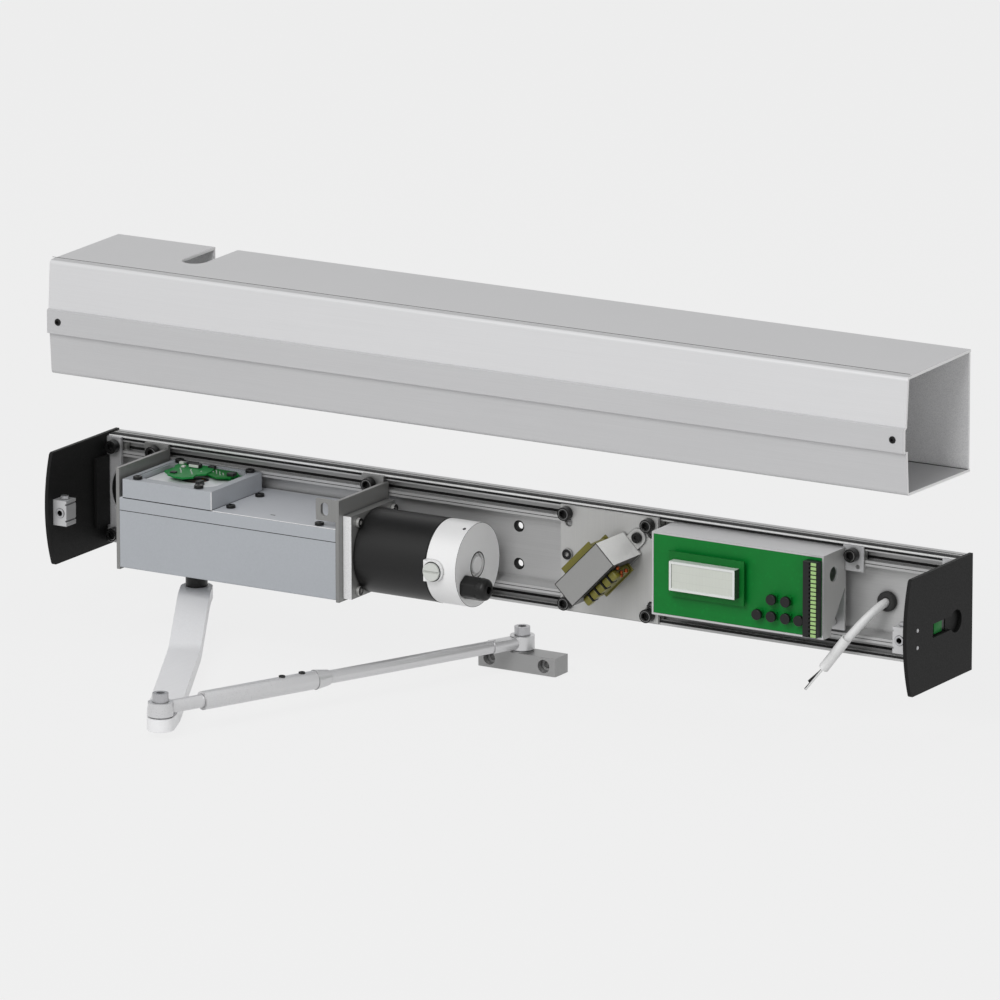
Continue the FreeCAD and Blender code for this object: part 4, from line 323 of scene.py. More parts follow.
MAGNET = Finish("ferrite", tint(0.16, 0.16, 0.17), 0.0, 0.70, Grain.CAST, 0.25)
COPPER = Finish("bare_copper", tint(0.55, 0.27, 0.14), 0.95, 0.30, Grain.FINE, 0.15)
BRASS = Finish("brass", tint(0.80, 0.68, 0.40), 0.8, 0.30, Grain.FINE, 0.10)
CORE_FACE = Finish("core_face", tint(0.60, 0.60, 0.595), 0.30, 0.46, Grain.CAST, 0.08, 0.03, 0.06, 0.5)
# Lamination edges on the core's upper end: pale as bare lamination edges are, and lighter still as painted
# light.
CORE_EDGE_LIT = Finish("core_edge_painted_light", tint(0.97, 0.97, 0.96), 0.10, 0.42, Grain.ALONG_X, 0.25, 0.08, 0.08, 0.6)
OLIVE = Finish("olive_former", tint(0.45, 0.43, 0.12), 0.0, 0.36, Grain.SOFT, 0.12, 0.06, 0.14, 0.5,
               corner_shade_mm=2.0)
BLACK_PLASTIC = Finish("black_plastic", grey(0.065), 0.0, 0.36, Grain.CAST, 0.08, 0.08, 0.03, 1.9, shine=0.35)
WHITE_PLASTIC = Finish("white_plastic", tint(0.84, 0.85, 0.83), 0.0, 0.38, Grain.CAST, 0.06, 0.03, 0.03,
                       0.8, corner_shade_mm=1.0)
RUBBER = Finish("rubber", grey(0.085), 0.0, 0.58, Grain.CAST, 0.20)
SHEATH = Finish("white_sheath", grey(0.95), 0.0, 0.42, Grain.SOFT, 0.08, 0.03, 0.03)
DISC_PINK = Finish("coded_disc", tint(0.60, 0.50, 0.49), 0.0, 0.42, Grain.FINE, 0.05)
TIN = Finish("tinned", grey(0.82), 0.7, 0.28, Grain.FINE, 0.10)
PIN_GREEN = Finish("terminal_green", tint(0.66, 0.80, 0.52), 0.0, 0.42, Grain.FINE, 0.06)
CHIP = Finish("chip_resin", tint(0.10, 0.10, 0.105), 0.0, 0.46, Grain.FINE, 0.12, edge_tone=1.8)
CREAM = Finish("cream_plastic", tint(0.80, 0.77, 0.66), 0.0, 0.42, Grain.FINE, 0.06)
CORE_PLATE = Finish("core_plate_zinc", tint(0.76, 0.76, 0.755), 0.30, 0.42, Grain.ALONG_Z, 0.08, 0.04,
                    0.08, 0.6, corner_shade_mm=2.0)
# Lighter copy of the cast finish for upward faces: painted light.
CAST_PAINTED_LIGHT = Finish("cast_blue_grey_painted_light", tint(0.80, 0.81, 0.83), 0.10, 0.50, Grain.CAST, 0.12, 0.03, 0.05, 0.7)
POCKET_PALE = Finish("pocket_plate", tint(0.90, 0.91, 0.92), 0.20, 0.45, Grain.FINE, 0.08, 0.04, 0.05)
RIM_BRIGHT = Finish("head_chamfer", grey(0.50), 0.95, 0.20, Grain.FINE, 0.10, 0.10, 0.10)
# Darker copy of the core finish for the core's side faces: painted shade.
CORE_PAINTED_SHADE = Finish("core_painted_shade", tint(0.30, 0.30, 0.295), 0.20, 0.50, Grain.CAST, 0.10, 0.06, 0.06)
# Dark lines at joints, and painted shade in slots, holes, inserts and gaps.
DARK_LINE_AND_SHADE = Finish("joint_line_and_painted_shade", grey(0.10), 0.0, 0.60, Grain.FINE, 0.05, 0.05, 0.0, shine=0.2)
DARK_GLASS = Finish("display_side", tint(0.20, 0.25, 0.21), 0.0, 0.25, Grain.SOFT, 0.04, 0.05, 0.05)
FRAME_GREY = Finish("display_rim", tint(0.90, 0.91, 0.90), 0.10, 0.34, Grain.FINE, 0.06, 0.04, 0.05, 0.6)


@dataclass(frozen=True)
class BoardFinish(Coating):
    """Green solder mask with faint copper tracks under it.

    Attributes:
        axes: The two axes of the board's plane, 0 to 2.
    """

    axes: tuple[int, int] = (0, 2)

    def build(self, nodes: Nodes) -> Material:
        """Build the node tree and return its material."""
        scale = [210.0 if axis in self.axes else 1.0 for axis in range(3)]
        tracks = nodes.add("ShaderNodeTexVoronoi", distance="MANHATTAN", Scale=1.0)
        nodes.link(nodes.place(scale), "Vector", tracks, "Vector")
        lines = nodes.span(tracks, "Distance", 0.0, 1.0, 0.30, 0.36)
        dust = nodes.noise((60.0, 60.0, 60.0))
        shade = nodes.mix(lines, 0, scaled(self.colour, 1.10), self.colour)
        colour = nodes.mix(nodes.span(dust, 0, 0.0, 0.22), 0, (shade, 2), scaled(self.colour, 0.6))
        nodes.link(colour, 2, nodes.shader, "Base Color")
        nodes.plain(Roughness=0.45, Specular_IOR_Level=0.25)
        nodes.bump(lines, 0, 0.20, 0.04)
        return nodes.material


@dataclass(frozen=True)
class GlassFinish(Coating):
    """Pale display glass with a faint grid of cells."""

    def build(self, nodes: Nodes) -> Material:
        """Build the node tree and return its material."""
        cells = nodes.add("ShaderNodeTexBrick", Scale=1.0, Mortar_Size=0.02, Brick_Width=0.9, Row_Height=1.0,
                          Color1=self.colour, Color2=scaled(self.colour, 0.985),
                          Mortar=scaled(self.colour, 0.90), offset=0.0)
        turn = nodes.place((330.0, 1.0, 150.0))
        turn.inputs["Rotation"].default_value = (math.radians(-90.0), 0.0, 0.0)
        nodes.link(turn, "Vector", cells, "Vector")
        haze = nodes.noise((70.0, 70.0, 70.0))
        colour = nodes.mix(nodes.span(haze, 0, 0.0, 0.08), 0, (cells, "Color"), scaled(self.colour, 0.8))
        nodes.link(colour, 2, nodes.shader, "Base Color")
        nodes.plain(Roughness=0.12, Coat_Weight=0.6)
        return nodes.material


BOARD = BoardFinish("solder_mask", tint(0.0, 0.47, 0.17))
SMALL_BOARD = BoardFinish("solder_mask_bright", tint(0.10, 0.52, 0.24), (0, 1))
DARK_BOARD = BoardFinish("solder_mask_dark", tint(0.0, 0.42, 0.14))
DISPLAY_GLASS = GlassFinish("display_glass", tint(0.82, 0.835, 0.80))


# Mesh helpers
def linked(name: str, data: ID) -> Object:
    """Return a new object of some data, linked to the scene."""
    made = bpy.data.objects.new(name, data)
    bpy.context.scene.collection.objects.link(made)
    return made


def wire(tree: NodeTree, *pairs: tuple[NodeSocket, NodeSocket]) -> None:
    """Link each pair of an output and an input."""
    for source, target in pairs:
        tree.links.new(source, target)


def fresh(tree: NodeTree, *kinds: str) -> list[Node]:
    """Clear a tree and return new shader nodes of the kinds."""
    tree.nodes.clear()
    return [tree.nodes.new("ShaderNode" + kind) for kind in kinds]


def keep(mesh: Mesh, name: str, finish: Coating, body: str = "chassis") -> Object:
    """Make an object of a mesh, shade it smooth between sharp edges, and let it ride.

    Args:
        mesh: Mesh in metres, already in its place.
        name: Name of the piece.
        finish: Finish of the whole piece.
        body: Body that carries it.

    Returns:
        The object.
    """
    mesh.name = name
    if not mesh.has_custom_normals:
        mesh.shade_smooth()
        mesh.set_sharp_from_angle(angle=math.radians(SHARP_DEG))
    piece = linked(name, mesh)
    mesh.materials.clear()
    mesh.materials.append(finish.material())
    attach(piece, body)
    LOG.info("%s rides on %s with %d faces", name, body, len(mesh.polygons))
    return piece


def baked(piece: Object) -> Mesh:
    """Return the evaluated mesh of an object with live modifiers, and remove the object."""
    graph = bpy.context.evaluated_depsgraph_get()
    graph.update()
    mesh = bpy.data.meshes.new_from_object(piece.evaluated_get(graph), depsgraph=graph)
    old = piece.data
    bpy.data.objects.remove(piece)
    if isinstance(old, Mesh) and old.users == 0:
        bpy.data.meshes.remove(old)
    return mesh


def merged_copy(node: str) -> Mesh:
    """Return a CAD node's mesh with its doubles merged and its flat faces joined."""
    mesh = FRAME["nodes"][node].data.copy()
    work = bmesh.new()
    work.from_mesh(mesh)
    bmesh.ops.remove_doubles(work, verts=work.verts, dist=MERGE_REACH)
    bmesh.ops.dissolve_limit(work, angle_limit=math.radians(FLAT_DEG), verts=work.verts, edges=work.edges)
    work.to_mesh(mesh)
    work.free()
    return mesh


def soften(node: str, name: str, finish: Coating, width_mm: float = 0.4, body: str = "chassis",
           steps: int = 2) -> Object:
    """Show a CAD node as a copy with bevelled edges.

    Args:
        node: CAD node that the piece stands for.
        name: Name of the piece.
        finish: Finish of the piece.
        width_mm: Width of the bevel.
        body: Body that carries it.
        steps: Segments of the bevel.

    Returns:
        The softened piece.
    """
    mesh = merged_copy(node)
    mesh.shade_smooth()
    piece = linked(name + "_raw", mesh)
    bevel = piece.modifiers.new("edge", "BEVEL")
    bevel.width = width_mm * MM
    bevel.segments = steps
    bevel.limit_method = "ANGLE"
    bevel.angle_limit = math.radians(BEVEL_DEG)
    bevel.use_clamp_overlap = True
    normals = piece.modifiers.new("normals", "WEIGHTED_NORMAL")
    normals.mode = "FACE_AREA"
    normals.weight = 80
    shown = keep(baked(piece), name, finish, body)
    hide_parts(node)
    return shown


def dress_faces(piece: Object, finish: Coating, chosen: Test) -> None:
    """Give the faces that a test picks by their normal and centre, in millimetres, another finish."""
    piece.data.materials.append(finish.material())
    slot = len(piece.data.materials) - 1
    for face in piece.data.polygons:
        if chosen(face.normal, face.center / MM):
            face.material_index = slot


def ring(radius: float, height: float, count: int = 24, sides: int = 0) -> list[Vector]:
    """Return points round the Z axis, in millimetres.

    Args:
        radius: Radius, or the distance to a flat where sides is given.
        height: Height of the ring.
        count: Number of points.
        sides: Number of flats, 0 for a circle.

    Returns:
        The points in order.
    """
    points = []
    for index in range(count):
        angle = 2.0 * math.pi * index / count
        reach = radius
        if sides:
            part = 2.0 * math.pi / sides
            reach = radius / math.cos((angle % part) - part / 2.0)
        points.append(Vector((reach * math.cos(angle), reach * math.sin(angle), height)))
    return points


def loft(rings: Sequence[Sequence[Vector]], hollow: bool = False) -> Mesh:
    """Return a closed mesh through rings of equal count, in metres.

    Args:
        rings: Rings in millimetres, from one end to the other.
        hollow: Join the last ring to the first instead of capping both.

    Returns:
        The mesh.
    """
    count = len(rings[0])
    work = bmesh.new()
    rows = [[work.verts.new(point * MM) for point in points] for points in rings]
    pairs = list(zip(rows, rows[1:] + rows[:1])) if hollow else list(zip(rows, rows[1:]))
    for low, high in pairs:
        for index in range(count):
            after = (index + 1) % count
            work.faces.new((low[index], low[after], high[after], high[index]))
    if not hollow:
        work.faces.new(rows[0][::-1])
        work.faces.new(rows[-1])
    bmesh.ops.recalc_face_normals(work, faces=work.faces)
    mesh = bpy.data.meshes.new("loft")
    work.to_mesh(mesh)
    work.free()
    return mesh


def lathe(profile: Outline, count: int = 24, hollow: bool = False) -> Mesh:
    """Return a turned mesh through pairs of radius and height, in millimetres."""
    return loft([ring(radius, height, count) for radius, height in profile], hollow)


def brick(low: Sequence[float], high: Sequence[float], edge: float = 0.3, steps: int = 2) -> Mesh:
    """Return a block between two corners in millimetres, with rounded edges."""
    work = bmesh.new()
    bmesh.ops.create_cube(work, size=1.0)
    for vert in work.verts:
        vert.co = Vector([(low[i] + high[i]) / 2 + vert.co[i] * (high[i] - low[i]) for i in range(3)]) * MM
    if edge:
        bmesh.ops.bevel(work, geom=list(work.edges), offset=edge * MM, segments=steps, affect="EDGES",
                        profile=0.5)
    mesh = bpy.data.meshes.new("brick")
    work.to_mesh(mesh)
    work.free()
    return mesh


def slab(outline: Outline, low: float, high: float,
         holes: Sequence[Point] = ()) -> Mesh:
    """Return a flat piece with an outline in the XY plane, in millimetres.

    Args:
        outline: Corners, counter clockwise seen from above.
        low: Height of the underside.
        high: Height of the top.
        holes: Centre and radius of each round hole.

    Returns:
        The mesh.
    """
    edge = 0.15
    curve = bpy.data.curves.new("slab", "CURVE")
    curve.dimensions = "2D"
    curve.fill_mode = "BOTH"
    curve.extrude = (high - low) / 2 * MM - edge * MM
    curve.bevel_depth = edge * MM
    rounds = [[(x + point.x, y + point.y) for point in ring(radius, 0.0, 20)] for x, y, radius in holes]
    for loop in [list(outline), *rounds]:
        spline = curve.splines.new("POLY")
        spline.points.add(len(loop) - 1)
        for point, (x, y) in zip(spline.points, loop):
            point.co = (x * MM, y * MM, 0.0, 1.0)
        spline.use_cyclic_u = True
    mesh = baked(linked("slab", curve))
    mesh.transform(Matrix.Translation((0.0, 0.0, (low + high) / 2 * MM)))
    work = bmesh.new()
    work.from_mesh(mesh)
    bmesh.ops.remove_doubles(work, verts=work.verts, dist=MERGE_REACH / 2)
    bmesh.ops.recalc_face_normals(work, faces=work.faces)
    work.to_mesh(mesh)
    work.free()
    return mesh


def islands(node: str) -> list[list[Vector]]:
    """Return the points of each loose part of a CAD node, in millimetres."""
    work = bmesh.new()
    work.from_mesh(FRAME["nodes"][node].data)
    bmesh.ops.remove_doubles(work, verts=work.verts, dist=MERGE_REACH)
    parts, seen = [], set()
    for start in work.verts:
        if start in seen:
            continue
        seen.add(start)
        part, todo = [], [start]
        while todo:
            vert = todo.pop()
            part.append(vert.co / MM)
            for other in (edge.other_vert(vert) for edge in vert.link_edges):
                if other not in seen:
                    seen.add(other)
                    todo.append(other)
        parts.append(part)
    work.free()
    return parts


@dataclass(frozen=True)
class Spot:
    """Place of one repeated piece.

    Attributes:
        at: Place in millimetres.
        facing: Direction of the piece's own Z axis.
        twist_deg: Turn about its own Z axis.
    """

    at: Point
    facing: Point = FRONT
    twist_deg: float = 0.0

    def euler(self) -> Point:
        """Return the turn that brings Z to the facing direction."""
        turn = Vector(self.facing).to_track_quat("Z", "Y").to_matrix()
        return tuple((turn @ Matrix.Rotation(math.radians(self.twist_deg), 3, "Z")).to_euler())


def head_spots(node: str) -> list[Spot]:
    """Return the middle of each screw head of a CAD node whose screws all face the front."""
    found = []
    for part in islands(node):
        low, high = ([pick(point[i] for point in part) for i in range(3)] for pick in (min, max))
        found.append(Spot(((low[0] + high[0]) / 2, low[1], (low[2] + high[2]) / 2)))
    return found


class Repeater:
    """Sets a template on many spots with one geometry node tree."""

    def __init__(self) -> None:
        """Build the node tree."""
        tree = bpy.data.node_groups.new("set_out", "GeometryNodeTree")
        face = tree.interface
        face.new_socket("Geometry", in_out="INPUT", socket_type="NodeSocketGeometry")
        self.template = face.new_socket("Template", in_out="INPUT", socket_type="NodeSocketObject").identifier
        self.finish = face.new_socket("Finish", in_out="INPUT", socket_type="NodeSocketMaterial").identifier
        face.new_socket("Geometry", in_out="OUTPUT", socket_type="NodeSocketGeometry")
        entry, leave, info, put, real, dress, stored, turn = (tree.nodes.new(kind) for kind in (
            "NodeGroupInput", "NodeGroupOutput", "GeometryNodeObjectInfo", "GeometryNodeInstanceOnPoints",
            "GeometryNodeRealizeInstances", "GeometryNodeSetMaterial", "GeometryNodeInputNamedAttribute",
            "FunctionNodeEulerToRotation"))
        stored.data_type = "FLOAT_VECTOR"
        stored.inputs["Name"].default_value = "turn"
        wire(tree, (entry.outputs["Geometry"], put.inputs["Points"]),
             (entry.outputs["Template"], info.inputs["Object"]),
             (info.outputs["Geometry"], put.inputs["Instance"]),
             (stored.outputs["Attribute"], turn.inputs[0]),
             (turn.outputs[0], put.inputs["Rotation"]),
             (put.outputs[0], real.inputs[0]),
             (real.outputs[0], dress.inputs[0]),
             (entry.outputs["Finish"], dress.inputs["Material"]),
             (dress.outputs[0], leave.inputs[0]))
        self.tree = tree

    def set_out(self, name: str, template: Mesh, spots: Sequence[Spot], finish: Coating,
                body: str = "chassis") -> Object:
        """Make one piece of a template repeated at every spot.

        Args:
            name: Name of the piece.
            template: Mesh in metres, round its own origin with Z outwards.
            spots: Where the template is set.
            finish: Finish of the piece.
            body: Body that carries it.

        Returns:
            The piece.
        """
        pattern = linked(name + "_pattern", template)
        points = bpy.data.meshes.new(name + "_points")
        points.from_pydata([Vector(spot.at) * MM for spot in spots], [], [])
        stored = points.attributes.new("turn", "FLOAT_VECTOR", "POINT")
        stored.data.foreach_set("vector", [angle for spot in spots for angle in spot.euler()])
        holder = linked(name + "_raw", points)
        modifier = holder.modifiers.new("set_out", "NODES")
        modifier.node_group = self.tree
        modifier[self.template] = pattern
        modifier[self.finish] = finish.material()
        mesh = baked(holder)
        bpy.data.objects.remove(pattern)
        if "turn" in mesh.attributes:
            mesh.attributes.remove(mesh.attributes["turn"])
        return keep(mesh, name, finish, body)


@dataclass(frozen=True)
class Bare:
    """A CAD node that is shown as it is, with a finish."""

    node: str
    finish: Coating

    def build(self) -> None:
        """Give the node its finish."""
        mesh = FRAME["nodes"][self.node].data
        mesh.materials.clear()
        mesh.materials.append(self.finish.material())


@dataclass(frozen=True)
class Shell:
    """A CAD node shown as a softened copy.

    Attributes:
        node: The CAD node.
        name: Name of the shown piece.
        finish: Its finish.
        edge_mm: Width of its bevels.
        body: The body that carries it.
        extra: More finishes, each with the test that picks its faces.
    """

    node: str
    name: str
    finish: Coating
    edge_mm: float = 0.4
    body: str = "chassis"
    extra: tuple[tuple[Coating, Test], ...] = ()

    def build(self) -> Object:
        """Build the piece and return it."""
        piece = soften(self.node, self.name, self.finish, self.edge_mm, self.body)
        for finish, chosen in self.extra:
            dress_faces(piece, finish, chosen)
        return piece


@dataclass(frozen=True)
class Block:
    """A plain block that the solids leave out.

    Attributes:
        name: Name of the piece.
        low: Its low corner in millimetres.
        high: Its high corner.
        finish: Its finish.
        edge_mm: Width of its bevels, 0 for sharp edges.
        body: The body that carries it.
    """

    name: str
    low: Point
    high: Point
    finish: Coating = DARK_LINE_AND_SHADE
    edge_mm: float = 0.0
    body: str = "chassis"

    def build(self) -> None:
        """Build the block."""
        keep(brick(self.low, self.high, self.edge_mm), self.name, self.finish, self.body)


Piece = Shell | Bare | Block


def long_line(name: str, low: tuple[float, float], high: tuple[float, float], finish: Coating = DARK_LINE_AND_SHADE,
              half_length: float = 364.9, body: str = "chassis") -> Block:
    """Return a thin line along the whole rail or cover, between two corners of its section."""
    return Block(name, (-half_length, *low), (half_length, *high), finish, 0.0, body)


# Sub-assemblies
@dataclass
class Assembly:
    """A group of pieces that is built together.

    Attributes:
        repeater: Sets out what repeats.
        pieces: Pieces that need nothing but their own values, in the order of building.
    """

    repeater: Repeater
    pieces: tuple[Piece, ...] = ()

    def build(self) -> None:
        """Build every piece of the group."""
        for piece in self.pieces:
            piece.build()
        self.add_parts()

    def add_parts(self) -> None:
        """Build the pieces that are worked out, where a group has any."""


def in_wall_hole(normal: Vector, at: Vector) -> bool:
    """Tell the walls of the two open wall holes at the rail's middle, which take painted shade."""
    reach = 4.4
    return abs(at.x + 11.0) < reach and abs(abs(at.z) - 14.3) < reach and at.y > -4.2 and abs(normal.y) < 0.99


@dataclass
class Rail(Assembly):
    """Extruded back rail with its end caps, brackets and cover blocks."""

    pieces: tuple[Piece, ...] = (
        Shell("left_end_cap", "left_cap", CAP_BLACK, 0.5),
        Shell("right_end_cap", "right_cap", CAP_BLACK, 0.5),
        Shell("cover_blocks", "cover_nut_blocks", BRIGHT_PLATE, 0.6),
        Shell("slot_screws", "rail_screws", SCREW_BLACK, 0.35),
        Shell("switch_board", "end_switch_board", BOARD, 0.1),
        Shell("cap_brackets", "cap_feet", BRIGHT_PLATE, 0.3, extra=(
            (CAP_BLACK, lambda normal, at: at.y < -18.8 or (normal.x > 0.8 and at.x > 364.0)),)),
        # The inner walls of the inserts take painted shade.
        Shell("block_fittings", "block_inserts", STEEL, 0.2, extra=(
            (DARK_LINE_AND_SHADE, lambda normal, at: at.y < -78.0 and abs(normal.z) < 0.999 and normal.y > -0.9
             and at.z < 7.0),)),
        # The walls of the open wall holes take painted shade.
        Shell("back_profile", "extruded_rail", RAIL_SILVER, 0.3, extra=((DARK_LINE_AND_SHADE, in_wall_hole),)),
        # A black plate behind the cap's window stands in for the shade inside it: painted shade.
        Block("window_shade", (364.0, -60.5, -7.5), (364.6, -35.9, 5.0), BLACK_PLASTIC, 0.1),
        Block("window_board", (364.6, -52.5, -5.6), (365.05, -41.0, 2.6), BOARD, 0.1),
        long_line("top_edge_line", (-14.4, 42.4), (-10.2, 42.62)),
        long_line("top_fine_line", (-6.4, 42.4), (-5.4, 42.55), SCREW_BLACK),
        # The lip and floor lines below are a painted highlight on the upper lip and painted shadows in the
        # T-slots.
        long_line("lip_bright_line", (-15.1, 40.6), (-14.9, 41.9), CUT_EDGE_AND_HIGHLIGHT),
        long_line("lip_dark_line", (-15.12, 38.7), (-14.9, 40.3)),
        long_line("upper_floor_line", (-6.12, 30.3), (-5.9, 32.2)),
        long_line("upper_rib_line", (-15.1, 28.05), (-14.9, 28.45)),
        long_line("lower_rib_line", (-15.1, -28.45), (-14.9, -28.05)),
        long_line("lower_floor_line", (-6.12, -36.5), (-5.9, -34.6)),
        long_line("low_lip_line", (-15.12, -39.2), (-14.9, -37.5)),
        Bare("slot_nuts", ZINC),
    )
    cap_face: float = 368.0

    def add_parts(self) -> None:
        """Build the bright rings of the screw heads and the rivets of the cover blocks."""
        rim = lathe(((3.5, -0.3), (3.6, 0.05), (4.0, 0.0), (4.75, -0.7), (4.85, -1.1)), hollow=True)
        self.repeater.set_out("head_rings", rim, head_spots("slot_screws"), RIM_BRIGHT)
        rivet = lathe(((1.4, -1.2), (1.4, 0.1), (1.1, 0.4), (0.5, 0.5)))
        pins = [Spot((side * self.cap_face, -82.0, z), (side, 0.0, 0.0))
                for side in (-1.0, 1.0) for z in (-8.6, 4.2)]
        self.repeater.set_out("block_rivets", rivet, pins, STEEL)


@dataclass
class GearHousing(Assembly):
    """Cast housing with its lid, sensor pocket, side plates and inner gears."""

    pieces: tuple[Piece, ...] = (
        Shell("gearbox_body", "cast_housing", CAST_GREY, 0.7),
        Shell("sensor_housing", "sensor_pocket", CAST_GREY, 0.5),
        Shell("gearbox_left_plate", "left_side_plate", PLATE_GREY),
        Shell("gearbox_right_bracket", "motor_bracket", PLATE_GREY),
        Shell("sensor_boards", "sensor_circuits", SMALL_BOARD, 0.1),
        # The lid's upward faces take the lighter cast finish as painted light.
        Shell("gearbox_lid", "housing_lid", CAST_GREY, 0.6, extra=(
            (CAST_PAINTED_LIGHT, lambda normal, _: normal.z > 0.8),)),
        *(Bare(node, STEEL) for node in (
            "ball_bearings", "gearhead", "bevel_wheel", "bevel_pinion", "output_spindle")),
        Bare("sensor_disc", DISC_PINK),
        Block("lid_mark", (-184.4, -73.0, 15.1), (-180.4, -72.0, 15.35), CHIP, 0.1),
        Block("lid_line_front", (-307.0, -85.12, 15.0), (-228.4, -84.9, 15.4)),
        Block("box_line_front", (-309.9, -85.12, 5.0), (-119.9, -84.9, 5.4)),
        Block("box_line_end", (-120.1, -85.1, 5.0), (-119.85, -40.0, 5.4)),
        Block("lid_line_end", (-228.6, -85.1, 15.0), (-228.35, -15.4, 15.4)),
        # Painted highlights along the lid's and the housing's upper edges.
        Block("lid_bright_edge", (-228.2, -85.1, 14.85), (-119.9, -84.8, 15.25), CUT_EDGE_AND_HIGHLIGHT),
        Block("housing_bright_edge", (-228.85, -85.1, 15.4), (-228.4, -84.7, 29.3), CUT_EDGE_AND_HIGHLIGHT),
        Block("hall_plug", (-283.5, -31.0, 29.8), (-274.0, -26.5, 32.8), CHIP, 0.25),
        Block("hall_plug_face", (-283.0, -31.5, 30.2), (-274.6, -30.8, 32.4), WHITE_PLASTIC, 0.25),
        Block("first_socket", (-294.8, -26.5, 29.8), (-291.0, -23.5, 31.8), WHITE_PLASTIC, 0.25),
        Block("second_socket", (-288.0, -34.5, 29.8), (-285.2, -31.5, 31.2), WHITE_PLASTIC, 0.25),
        Block("rear_chip", (-289.0, -25.5, 29.8), (-280.0, -21.5, 32.0), CHIP, 0.25),
        Block("edge_chip", (-286.0, -53.0, 29.8), (-281.5, -49.0, 31.0), CHIP, 0.25),
        Block("disc_fork", (-257.6, -62.0, 25.2), (-253.8, -55.0, 29.0), CHIP, 0.25),
        Block("disc_fork_foot", (-256.6, -68.5, 25.2), (-252.6, -65.0, 26.4), CREAM, 0.25),
        Block("board_end_left", (-270.5, -24.5, 28.8), (-265.0, -20.8, 31.2), CHIP, 0.25),
        Block("board_end_right", (-246.5, -36.0, 28.8), (-241.0, -30.0, 31.2), CHIP, 0.25),
    )
    pocket: Outline = ((-301.0, -72.5), (-238.0, -72.5), (-238.0, -21.0), (-301.0, -21.0))
    disc_hole: Point = (-268.0, -45.0, 10.5)
    first_board: Outline = (
        (-295.5, -30.0), (-291.0, -40.0), (-286.0, -56.0), (-278.0, -59.5), (-270.0, -60.0), (-264.5, -54.0),
        (-266.5, -47.0), (-261.5, -41.0), (-262.5, -31.0), (-265.5, -24.0), (-272.0, -20.6), (-279.0, -20.6),
        (-282.0, -22.5), (-286.0, -20.6), (-292.0, -20.6), (-296.0, -22.0))
    second_board: Outline = (
        (-270.0, -24.8), (-268.0, -37.0), (-259.0, -39.2), (-251.3, -43.5), (-241.8, -37.7), (-240.6, -28.1),
        (-247.0, -21.0), (-257.0, -20.8), (-264.0, -20.8))
    legs: Outline = ((-292.0, -27.0), (-272.0, -28.0), (-264.0, -27.0), (-245.5, -33.0))

    def add_parts(self) -> None:
        """Build the pocket's plate, its two boards, their legs and solder pads."""
        for name, mesh, finish in (
                ("pocket_plate", slab(self.pocket, 24.3, 25.3, [self.disc_hole]), POCKET_PALE),
                ("first_sensor_board", slab(self.first_board, 28.4, 29.8), SMALL_BOARD),
                ("second_sensor_board", slab(self.second_board, 27.6, 28.8), DARK_BOARD)):
            keep(mesh, name, finish)
        legs = [Spot((x, y, 27.9), UP) for x, y in self.legs]
        self.repeater.set_out("board_legs", lathe(((1.6, -9.0), (1.6, 0.5)), 16), legs, BRASS)
        spread = random.Random(11)
        first = [Spot((-287.0 + 1.9 * i + spread.uniform(-0.4, 0.4), -37.0 - 2.6 * j, 29.8), UP)
                 for i in range(11) for j in range(5) if (i * 7 + j * 3) % 5 == 0]
        second = [Spot((-262.0 + 2.3 * i, -26.0 - 1.2 * i - 2.1 * j, 28.8), UP)
                  for i in range(6) for j in range(3) if (i + j) % 2 == 0]
        pad = lathe(((0.55, 0.0), (0.5, 0.35), (0.2, 0.5)), 12)
        self.repeater.set_out("solder_pads", pad, first + second, TIN)


